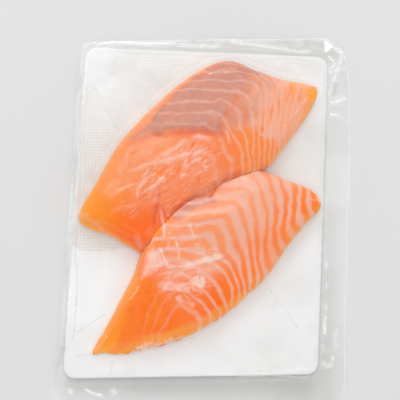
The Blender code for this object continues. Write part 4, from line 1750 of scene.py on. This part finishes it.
def lower_portion() -> Portion:
    """The portion that is marbled all over, with a frayed lower edge.

    Returns:
        The portion, ready to build.
    """
    smear = Patch((-35.6, -34.4, -34.6, -26, -32.4, -18.6, -28, -20.6, -24.4, -26, -25.6, -29.4,
        -30, -31.4), 2.6, 0.7, 2.4, 0.75, 31)
    band = Patch((-24.5, -27, -16.4, -27.2, -8.4, -25.4, 2, -22, 10.6, -20.8, 10.4, -22.2, 3.5, -25,
        -7.3, -28.4, -15.6, -29.8, -22.8, -29.4), 1.2, 0.6, 3.4, 0.8, 32)
    blob = Patch((-7.6, -35, -4, -33.9, 0.2, -35.2, -0.4, -39.8, -5.4, -40.3, -8.2, -38.6), 1.2, 1, 1.6,
        0.85, 33)
    foam = Patch((-25.1, -41, -22.8, -38, -19.4, -36.1, -18.1, -38.4, -13.4, -38.9, -7.5, -38.7,
        -6.2, -41.6, -12.1, -42.5, -19.2, -42), 1.6, 1.2, 1.8, 0.62, 42)
    # painted shade in the crease along the seam, in the brown colour
    seam_shade = Patch((-20, -0.6, -16, 5, -11.4, 9, -6, 11.6, 2.6, 12.4, 4.6, 9.6, -2, 8, -8, 6, -14, 1.6,
        -17, -1.6), 1.6, 0.8, 3, 1, 47)
    bits = (
        Patch((-16.6, -46, -13.4, -45.8, -12.6, -48.6, -15.8, -49), 0.9, 0.7, 1.6, 0.5, 34),
        Patch((-9.4, -49.2, -5.6, -49.6, -6.4, -52, -8.8, -51.8), 0.9, 0.7, 1.6, 0.5, 35),
        Patch((-40, -78.4, -36, -75.6, -30, -73.6, -30.4, -76, -36, -78.6), 0.8, 1.5, 1.2, 0.7, 36),
        Patch((-19.8, -70.4, -18, -69.6, -17.8, -73.2, -19.6, -73.4), 0.6, 0.9, 1.2, 0.6, 37),
        Patch((-2, -64, 0, -63.6, -0.4, -66.6, -2, -66.8), 0.6, 0.9, 1.2, 0.5, 38),
        Patch((-28, -74.6, -20, -72, -12, -70, -12, -71.6, -20, -74, -28, -76.2), 0.8, 1.3, 1.4, 0.5, 43),
    )
    pink = Patch((-25, -9, -23, -4, -16, 2, -4, 9.8, 10, 19, 30, 27.6, 44, 25, 46, 10, 34, 0, 26, -12,
        12, -13, 0, -12, -14, -14, -21, -11), 4, 1.6, 7, 0.48, 39)
    # rim: a painted highlight along the left edge
    rim = Patch((-63, -82, -64, -78, -42, -34, -34, -22, -31, -25, -40.7, -42.1, -49.9, -59.9, -57, -74),
        softness=1.6, strength=0.22, seed=40)
    tip = Patch((-62.6, -80.4, -62, -77.4, -53, -73, -49.6, -67.4, -51.6, -77, -57, -80.8), softness=2.6,
        strength=0.9)
    flank = Patch((-62, -79, -56.8, -66.6, -48.8, -49.4, -41.8, -34.4, -37, -38, -43, -52, -48, -66,
        -52, -78), 4, 1, 5, 0.42, 45)
    frill = Patch((-50, -81, -34, -77, -18.6, -73.2, -1.4, -65, 15.2, -54.2, 28.2, -42.4, 24, -42,
        10, -51.6, -4, -59.6, -20, -67, -36, -72), 1.8, 1.6, 3, 0.6, 46)
    # painted glow on the steep right side, which would otherwise lie in shade
    fringe = Patch((28.2, -43.4, 39.2, -32, 51.8, -12.6, 61.2, -0.8, 71, 12, 63, 8.6, 53, -1.6, 44.6, -12.6,
        34, -28.4, 23.6, -40), 2.2, 0.8, 3, 0.3, 44)
    marbling = Marbling(LOWER_FAT_LINES, share=Gradation((30, 18, 0.62, 24, 4, 0.62, 46, 8, 0.5,
        60, 8, 0.45, 46, -12, 0.38, 34, -24, 0.5, 16, -40, 0.3, 6, -48, 0.27, -4, -60, 0.25, 10, -8, 0.5,
        -8, -8, 0.34, -28, -58, 0.12, -22, -50, 0.16, 0, 8, 0.42), 8), strength=Gradation((30, 10, 0.66,
        50, 8, 0.8, 46, -14, 0.5, 64, 10, 0.8, 20, -36, 0.8, 6, -50, 0.75, -4, -62, 0.55, 8, -6, 0.7,
        -8, -6, 0.7, -20, -8, 0.7, -28, -56, 0.45, -22, -46, 0.35, -42, -60, 0, -36, -44, 0, -50, -72, 0,
        -11, -60, 0.5, -8, -38, 0.5), 6.5), waviness=0.12, softness=0.11, seed=22)
    # pale strokes of fat and foam, and painted sheen under the film's wrinkles
    pale_lines = (
        Fold((-28.5, -17.5, -26.4, -20.3, -25.1, -23.4, -23.3, -26.3, -21, -27.4), 0.3, 0.8, 0.7, 0.75),
        Fold((-18.9, -13.5, -17.3, -16.8, -16.4, -20.7, -16, -25.6), 0.3, 0.9, 0.7, 0.7),
        Fold((-27, 1, -26.1, -1.4, -25.4, -6.3, -24.9, -13.2), 0.3, 0.8, 0.7, 0.55),
        Fold((-11.2, -3.4, -9.4, -6.8, -8.3, -10.2, -5.8, -12.1), 0.1, 0.6, 0.6, 0.4),
        Fold((-22.3, -41.3, -21.7, -36.9, -20.1, -33.5, -11.4, -32.7, -7.9, -33.1), 0.3, 1.1, 0.8, 0.6),
        Fold((-25.7, -41.4, -22.2, -41.8, -17.4, -42.1, -12.5, -41, -6.7, -39.8), 0.3, 1.5, 0.8, 0.65),
        Fold((-27.6, -41.5, -25.7, -39, -22.3, -37.9), 0.2, 0.9, 0.6, 0.5),
        Fold((-19.8, -29.1, -19.9, -32, -21.3, -35), 0.2, 0.8, 0.6, 0.5),
        Fold((1.6, -36.2, 2.9, -38.6, 3.9, -39.1), 0.2, 0.6, 0.6, 0.5),
        Fold((-21, -12.6, -22.8, -17, -20.8, -20.6, -17, -20.8), 0.1, 0.7, 0.8, 0.4),
        Fold((-21.7, -37.3, -18.3, -34.9, -14.8, -33.6, -10.1, -34, -7.1, -36), 0.2, 1.1, 0.7, 0.75, 0.25),
        Fold((-16, -49, -12.5, -48.8, -8.5, -49.6), 0.1, 1.6, 0.5, 0.4, 0.5),
        Fold((-21.6, -39.6, -15, -38.6, -8, -38.4, -3, -40.2), 0.2, 0.7, 0.7, 0.6),
        Fold((-22, -32, -13, -29.8, -4, -30.4, 1.4, -33), 0.15, 0.7, 0.7, 0.5),
        Fold((-4.4, -33.2, -1.8, -36.4, -2.6, -40), 0.2, 0.8, 0.6, 0.7),
        Fold((-8.2, -41, -3.6, -42.6, -1, -44.6), 0.15, 0.7, 0.6, 0.5),
        Fold((-14, -43.6, -10, -46.6, -7, -50.4), 0.1, 0.7, 0.6, 0.5),
        Fold((19.3, 24.6, 21.8, 24.9, 22.9, 22.6), 0.2, 1.5, 0.7, 0.6),
        Fold((66, 16, 69.4, 13.4, 70.2, 11.2), 0, 0.8, 0.6, 0.6),
    )
    # dents in the flesh, with painted shade along them
    grooves = (
        Fold((-30.6, -56, -37.4, -70, -38.6, -77.6), -0.25, 1.4, 0.5, 0.2),
        Fold((-43.3, -47, -44.4, -60, -47, -74), -0.3, 2.6, 0.5, 0.25),
        Fold((-24.6, -30, -28, -38, -36, -50), -0.2, 2.2, 0.5, 0.45),
    )
    shadows = (
        Fold((37, -32, 44, -22, 52, -10), 0, 0.8, 0.5, 0.15, 0.6),
        Fold((-21, -0.2, -16.2, 5.2, -11.4, 8.4, -7, 10, -2.6, 10.9, 2.6, 11.6), 0, 1.7, 0.7, 0.9, 0.2),
        Fold((2, 13.6, 2.9, 12.2, 2.6, 10), 0, 1.3, 0.5, 1, 0.1),
        Fold((3.4, 13.6, 5.2, 16.8, 9.2, 20.6, 15, 23.6), 0, 1.2, 0.6, 0.6, 0.2),
    )
    return Portion(
        name="salmon_lower_flesh",
        node="salmon_lower",
        slot="raw_salmon_marbled",
        outline_points=np.vstack([shifted_seam(-SEAM_GAP / 2), pairs(LOWER_RIM)]),
        plateau=9.5,
        swells=(Swell(-8, -12, 6.2, 22), Swell(26, 8, 3.6, 18), Swell(-60, -78, -4.6, 18),
                Swell(70, 12, -3.2, 12), Swell(-22, -52, 1.4, 16)),
        edge_radius=9.5,
        marbling=marbling,
        marks={"veil": pale_lines, "deep": grooves, "shade": shadows},
        ledges=((0.4, blob), (0.3, foam), (0.3, smear), (0.3, band)),
        patches={
            "veil": (smear, band, blob, foam, *bits),
            "pink": (pink, rim),
            "crumple": crumpled_lower(0.35),
            "brown": (seam_shade,),
            "thin": (tip, fringe, flank, frill),
        },
        washes={
            "deep": Gradation((-43, -55, 0.45, -38, -62, 0.4, -12, -60, 0.6, -26, -40, 0.5, -55, -75, 0,
                6, -50, 0.75, 20, -38, 0.45, 44, -22, 0.7, 40, -10, 0.3, 60, 8, 0.45, 20, 10, 0.1,
                -10, -5, 0.15, 66, 14, 0.4), 8),
            "veil": Gradation((-10, -37, 0.16, -2, -28, 0.36, -22, -36, 0.2, -14, -30, 0.36, -10, -20, 0.12,
                -30, -46, 0, -6, -52, 0.05, 12, -30, 0.05, 6, -12, 0, -36, -40, 0, -40, -60, 0, 30, 5, 0,
                50, 5, 0, 0, 5, 0, -25, -8, 0, 8, -44, 0, -16, -48, 0.05, -20, -60, 0), 5),
            "pink": Gradation((0, 5, 0.35, 14, 14, 0.5, 28, 20, 0.75, 26, 4, 0.5, 40, 16, 0.3,
                -24, -12, 0.12, -40, -55, 0, 0, -55, 0, 50, 0, 0.1, 64, 8, 0, 10, -16, 0.4, 30, -14, 0.15,
                20, -34, 0), 7),
        },
        finish=FleshFinish("raw_salmon_marbled_flesh"),
        ragged=Gradation((-60, -80, 0.7, -30, -76, 1.1, 0, -66, 0.9, 20, -50, 0.6, 45, -22, 0.35,
            60, 0, 0.35, 40, 28, 0.35, -45, -45, 0.1, 0, 12, 0.1), 10),
        seed=201,
    )


def pouch_folds() -> tuple[Fold, ...]:
    """The wrinkles and folds of the film.

    Returns:
        The folds.
    """
    # the pale share of each film fold is a painted highlight in the film's haze
    on_upper = (
        Fold((-50.9, 25.7, -45.1, 26.9, -39.8, 28.6, -36, 29.8, -33.1, 30.9, -26.8, 32.7, -20.5, 34.4,
            -12.3, 37.3, -1.5, 39.5), 0.4, 0.75, 0.5, 0.25),
        Fold((-33.6, 30.6, -34.9, 28.7, -36.7, 25.4, -38.1, 22, -39.9, 18.4, -41.5, 15.4, -41.5, 11,
            -40.9, 8.1), 0.6, 0.7, 0.6, 0.4),
        Fold((-33.4, 28.1, -35.7, 23.5, -37.5, 19.5), 0.4, 0.6, 0.5, 0.25),
        Fold((-28.7, 30.1, -24.3, 31.8, -20.5, 34.4, -15.7, 36.1), 0.3, 0.65, 0.5, 0.2),
        Fold((-30.3, 33.5, -27.9, 35.6, -24.5, 37.7, -21.7, 39.3, -18.3, 41.9, -15.2, 44.5, -12, 43), 0.4,
            0.7, 0.6, 0.25),
        Fold((-35.4, 14.7, -33, 17.3, -30.7, 19.3, -27.8, 21.4, -24.7, 23.8), 0.45, 0.75, 0.6, 0.3),
        Fold((-10.9, 30, -9.8, 32.1, -8.1, 33.9, -6.2, 34.5, -3.2, 35.6), 0.6, 0.65, 0.6, 0.5),
        Fold((-11.7, 47.8, -7.8, 47.5, -4.3, 47.4, -0.8, 46.3, 1.7, 44.7), 0.35, 0.7, 0.5, 0.2),
        Fold((-7.2, 51.2, -6.8, 47.3, -6.4, 43.3), 0.35, 0.7, 0.5, 0.2),
        Fold((-55.2, 12.5, -51.9, 14.6, -48.1, 16.7, -44.2, 18.4, -40.4, 19.5), 0.3, 0.7, 0.5, 0.15),
        Fold((-56.4, 0.4, -53.3, 3.4, -49.5, 5.1, -44.2, 6.5, -38.9, 7), 0.25, 0.8, 0.5, 0.08),
        Fold((-44.3, 44.4, -47.1, 40.8, -48.6, 35.8, -48.1, 30, -50.9, 26.9), 0.3, 0.7, 0.5, 0.12),
        Fold((8.5, 53.2, 10.3, 49.5, 11.1, 43.3), 0.4, 0.75, 0.5, 0.3),
        Fold((-3.6, 32.8, -2.5, 29.4, -1.5, 27), 0.3, 0.7, 0.5, 0.2),
        Fold((-27.8, 5.5, -26.8, 0.6, -25.8, -3.8, -25.4, -8.7, -25, -13.5), 0.55, 0.65, 0.7, 0.4),
        Fold((-28.6, 7.6, -29.4, 2.3, -29.8, -4), 0.4, 0.6, 0.6, 0.08),
        Fold((-26, 7.6, -24, 3, -22, -0.8), 0.4, 0.6, 0.6, 0.2),
        Fold((0, 28, -0.4, 22, 1.4, 15.6), 0.25, 0.7, 0.5, 0.1),
        Fold((3.4, 30, 3, 24, 4.4, 19.6), 0.2, 0.7, 0.5, 0.08),
    )
    on_lower = (
        Fold((-22.1, -2.3, -19.8, 0.8, -17.4, 3.3, -14.1, 6.4, -10.2, 9.1, -6.3, 11.5, -3.9, 12.1,
            -0.4, 11.9, 2.4, 10.6), 0.4, 0.5, 0.7, 0.24),
        Fold((-28.5, -17.5, -26.4, -20.3, -25.1, -23.4, -23.3, -26.3, -21, -27.4), 0.35, 0.65, 0.6, 0.3),
        Fold((-18.9, -13.5, -17.3, -16.8, -16.4, -20.7, -16, -25.6), 0.35, 0.65, 0.6, 0.25),
        Fold((-11.2, -3.4, -9.4, -6.8, -8.3, -10.2, -5.8, -12.1), 0.3, 0.65, 0.6, 0.3),
        Fold((-22.3, -41.3, -21.7, -36.9, -20.1, -33.5, -16.2, -33.1), 0.3, 0.7, 0.6, 0.2),
        Fold((-25.7, -41.4, -22.2, -41.8, -17.4, -42.1, -12.5, -41), 0.3, 0.7, 0.6, 0.2),
    )
    on_board = (
        Fold((-75.4, 93.9, -75.8, 75.5, -77.4, 54, -77.5, 38.9, -77.7, 20.8, -78.6, 1, -79.7, -27,
            -79.4, -44.7, -79.2, -68.2), 0.9, 0.9, 0.85, 0.5),
        Fold((-74.8, 75.5, -75, 54.2, -74.7, 33, -74.5, 14.9, -75.2, 5.9), 0.25, 0.7, 0.7, 0.3),
        Fold((-74.4, -44.6, -73.8, -56, -73.4, -68.1), 0.25, 0.7, 0.7, 0.4),
        Fold((24.4, -90.1, 36.6, -91, 54.9, -88.8, 67.2, -86.8), 0.5, 0.8, 0.7, 0.5),
        Fold((5, -91.4, 26, -92.4, 45.8, -91.7, 61.2, -92.9, 72.9, -92.3), 0.6, 0.8, 0.7, 0.4),
    )
    in_margin = (
        Fold((-71.8, 103.2, -65.4, 105.4, -60.9, 106.7, -55.3, 106.8, -47.8, 106.7, -35, 106.7,
            -19.3, 107.9), 0.9, 0.75, 0.85, 0.95, 0.2),
        Fold((-22, 107.8, -12.7, 107.4, -0.3, 107.1, 9, 108.1), 0.6, 0.9, 0.6, 0.5),
        Fold((8.9, 111.4, 18.3, 109.9, 27.7, 109.2, 45.4, 108.3, 56.1, 107.1, 66.3, 107.7), 1.1, 1.3, 0.8,
            0.6),
        Fold((73.6, 106.2, 77.8, 101.2, 76.2, 97.9, 75.1, 92.2), 0.9, 0.8, 0.7, 0.9),
        Fold((82.8, 109.3, 80.7, 98.1, 78.4, 90.8, 75.7, 83.3, 75, 77.6), 0.8, 1.1, 0.75, 0.5),
        Fold((86.6, 79.6, 79.5, 76.2, 74.7, 75.6), 0.9, 1.7, 0.7, 0.55),
        Fold((74.4, 68.9, 77.4, 68.4, 81.4, 68.3), 0.8, 1.1, 0.6, 1),
        Fold((82, 70, 84.6, 64), 0.5, 1.2, 0.5, 0.4),
        Fold((-77.4, 97, -76.9, 79, -76.4, 58), 0.4, 0.6, 0.7, 0.7, 0.2),
        Fold((-76.4, -102, -76.2, -105.9), 0.6, 1.7, 0.5, 0.85),
        Fold((-68.2, -101.6, -65.7, -104, -60.7, -105.8, -56.3, -106.5), 0.8, 0.6, 0.7, 1, 0.1),
        Fold((-51.9, -101, -49.6, -106), 0.5, 2.1, 0.5, 0.6),
        Fold((75.9, -20, 76, -27.5), 0.5, 1.4, 0.5, 0.6),
        Fold((76.2, -34, 76.6, -40), 0.4, 1.2, 0.5, 0.4),
        Fold((75.9, -47.5, 76, -53.5), 0.5, 1.4, 0.5, 0.55),
        Fold((75.8, -54.5, 75.6, -60.7, 75.6, -68), 0.8, 1.2, 0.7, 0.9),
        Fold((73, -72, 75.4, -74.6, 74.6, -78), 0.6, 0.8, 0.6, 0.5),
        Fold((81.1, -79.6, 81.2, -83.4), 0.8, 0.9, 0.5, 1),
        Fold((73.3, -84.2, 78.3, -85.6, 82.6, -84.4), 0.6, 1.3, 0.6, 0.7),
        Fold((84, -60, 82.4, -70, 84, -78), 0.5, 1.5, 0.5, 0.35),
    )
    return (*on_upper, *on_lower, *on_board, *in_margin)


def pouch_creases() -> tuple[Fold, ...]:
    """The creases of the film that look darker than what is under them.

    Returns:
        The creases.
    """
    # each crease darkens the film's haze with painted shade
    return (
        Fold((38.8, -38.6, 48.3, -49.8, 61, -66.8), 0.22, 0.5, 0.8, 0.32, 0.15),
        Fold((-51.8, -84.5, -52.5, -89.6, -53.3, -95), 0.22, 0.5, 0.8, 0.3, 0.15),
        Fold((-74.6, -83.8, -68, -82.6, -62.5, -82), 0.22, 0.5, 0.8, 0.35, 0.15),
        Fold((-74.4, 83.4, -68.2, 75.7, -64.3, 69.7, -59.4, 60, -53.4, 49), 0.2, 0.5, 0.8, 0.26, 0.15),
        Fold((-75.4, -70.2, -68.5, -65.6, -62.2, -61.3, -55.9, -57.6), 0.22, 0.5, 0.8, 0.34, 0.15),
        Fold((-80, -75.7, -83, -84.3, -85.6, -92.8), 0.5, 1.7, 0.6, 0.45),
        Fold((80.2, 91, 78.8, 85.5, 77.9, 79.1), 0.3, 1, 0.6, 0.4),
        Fold((-77.1, -19.2, -75.4, -36, -75.1, -50.5, -75.4, -68.1, -77.4, -77), 0.2, 0.5, 0.8, 0.4, 0.2),
        Fold((74.6, -79, 76.8, -81.2), 0, 1.3, 0.5, 0.45),
        Fold((73.6, 60, 72.9, 20, 72.6, -20, 72.2, -60, 71.6, -80), 0, 0.7, 0.9, 0.4, 0.2),
    )


def pouch_puckers() -> tuple[Pucker, ...]:
    """The patches of fine creases in the film.

    Returns:
        The puckers.
    """
    flank = Patch(UPPER_FLANK, softness=6)
    middle = Patch((-42, 12, -40, 30, -26, 38, -8, 44, 0, 34, -6, 24, -18, 20, -28, 12), softness=5)
    smears = Patch((-30, -20, -22, -8, -8, -12, 8, -20, 6, -38, -12, -46, -26, -42), softness=4)
    # the pale share of each pucker paints highlights along its streaks
    return (
        Pucker(flank, 0.1, 2.6, 32, 5, 0.16, 401),
        Pucker(middle, 0.14, 1.9, 44, 4, 0.34, 411),
        Pucker(middle, 0.1, 1.7, 68, 5, 0.22, 431),
        Pucker(smears, 0.1, 1.5, 12, 5, 0.3, 421),
    )


def pouch_glints() -> tuple[Patch, ...]:
    """The places in the margin where the film catches the light.

    Returns:
        The glints, as patches.
    """
    # painted highlights in the film's haze
    return (
        Patch((71.9, 116, 74.6, 114.2, 77.4, 111.6, 75, 109.4, 72, 108), 0.7, 0.4, 2, 0.9, 451),
        Patch((77.1, 111.6, 83.9, 109.9, 83.6, 107.6, 77.7, 109), 0.8, 0.5, 2, 0.5, 452),
    )


# ---------------------------------------------------------------- surface, light and camera


class LightShape(Enum):
    """The shapes of light that the studio uses."""

    SQUARE = "SQUARE"
    STRIP = "RECTANGLE"


@dataclass(frozen=True)
class Lamp:
    """A soft light.

    Args:
        name: Its name.
        place: Where it is.
        size: How wide it is.
        length: How long it is, if it is a strip.
        power: Its power, in watts.
        shape: Its shape.
        aim: Where it points.
    """

    name: str
    place: tuple[float, float, float]
    size: float
    power: float
    length: float = 0.0
    shape: LightShape = LightShape.SQUARE
    aim: tuple[float, float, float] = (0.0, 0.0, 0.0)

    def build(self) -> None:
        """Adds the light to the scene."""
        light = bpy.data.lights.new(self.name, "AREA")
        light.shape = self.shape.value
        light.size = self.size
        if self.shape is LightShape.STRIP:
            light.size_y = self.length
        light.energy = self.power
        obj = bpy.data.objects.new(self.name, light)
        bpy.context.scene.collection.objects.link(obj)
        back = np.array(self.place) - np.array(self.aim)
        flat = math.hypot(back[0], back[1])
        obj.location = self.place
        obj.rotation_euler = (math.atan2(flat, back[2]), 0.0, math.atan2(back[0], -back[1]))


@dataclass(frozen=True)
class Studio:
    """The surface, the soft light and the camera.

    Args:
        lamps: The lights.
        sky: The brightness of the light from straight above.
        horizon: The brightness of the light from the sides.
        floor_size: How wide the surface is.
        floor_finish: The surface's material.
        camera_place: Where the camera is.
        camera_turn: How it is turned, in degrees.
        lens: Its focal length, in millimetres.
    """

    lamps: tuple[Lamp, ...] = (
        Lamp("key_softbox", (-0.2, 1.4, 1.6), 2.0, 18.5),
        Lamp("front_fill", (0.2, -1.4, 1.2), 1.6, 4.5),
        Lamp("left_strip", (-0.85, 0.1, 0.6), 0.03, 0.4, 0.3, LightShape.STRIP),
        Lamp("right_strip", (0.8, 0.3, 0.55), 0.03, 0.3, 0.3, LightShape.STRIP),
        Lamp("back_strip", (-0.1, 0.95, 0.6), 0.3, 0.7, 0.03, LightShape.STRIP),
    )
    sky: float = 0.42
    horizon: float = 1.15
    floor_size: float = 6.0
    floor_finish: SurfaceFinish = field(default_factory=SurfaceFinish)
    camera_place: tuple[float, float, float] = (-0.0483, -0.0266, 0.5008)
    camera_turn: tuple[float, float, float] = (4.227, -5.302, 1.963)
    lens: float = 74.4

    def build(self) -> None:
        """Adds the surface, the lights, the sky and the camera."""
        half = self.floor_size / 2.0
        corners = np.array([(-half, -half, -0.0003), (half, -half, -0.0003), (half, half, -0.0003),
                            (-half, half, -0.0003)])
        floor = mesh_object("pale_surface", corners, [(0, 1, 2, 3)], self.floor_finish.build())
        for lamp in self.lamps:
            lamp.build()
        world = bpy.data.worlds.new("pale_sky")
        world.use_nodes = True
        tree = world.node_tree
        direction = tree.nodes.new("ShaderNodeTexCoord")
        split = tree.nodes.new("ShaderNodeSeparateXYZ")
        height = tree.nodes.new("ShaderNodeMapRange")
        tree.links.new(direction.outputs["Generated"], split.inputs["Vector"])
        tree.links.new(split.outputs["Z"], height.inputs["Value"])
        height.inputs["To Min"].default_value = self.horizon
        height.inputs["To Max"].default_value = self.sky
        sky = tree.nodes["Background"]
        sky.inputs["Color"].default_value = (1.0, 1.0, 1.0, 1.0)
        tree.links.new(height.outputs["Result"], sky.inputs["Strength"])
        bpy.context.scene.world = world
        data = bpy.data.cameras.new("camera")
        data.lens = self.lens
        data.sensor_width = 36.0
        data.clip_start = 0.01
        camera = bpy.data.objects.new("camera", data)
        camera.location = self.camera_place
        camera.rotation_euler = [math.radians(angle) for angle in self.camera_turn]
        bpy.context.scene.collection.objects.link(camera)
        bpy.context.scene.camera = camera
        bpy.context.scene.view_settings.view_transform = "Standard"


def main() -> None:
    """Builds the pack in order, then the studio."""
    logging.basicConfig(level=logging.INFO, format="%(name)s: %(message)s")
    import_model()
    board = Board()
    portions = (upper_portion(), lower_portion())
    pouch = Pouch(board, portions, pouch_folds(), pouch_creases(), pouch_puckers(), pouch_glints(),
                  (*crumpled_upper(0.45), *crumpled_lower(0.34)))
    built = [pouch.build_bottom(), board.build()]
    built += [portion.build() for portion in portions]
    built.append(pouch.build_top())
    for piece in built:
        log.info("%s: %d faces", piece.name, len(piece.data.polygons))
    Studio().build()


if __name__ == "__main__":
    main()
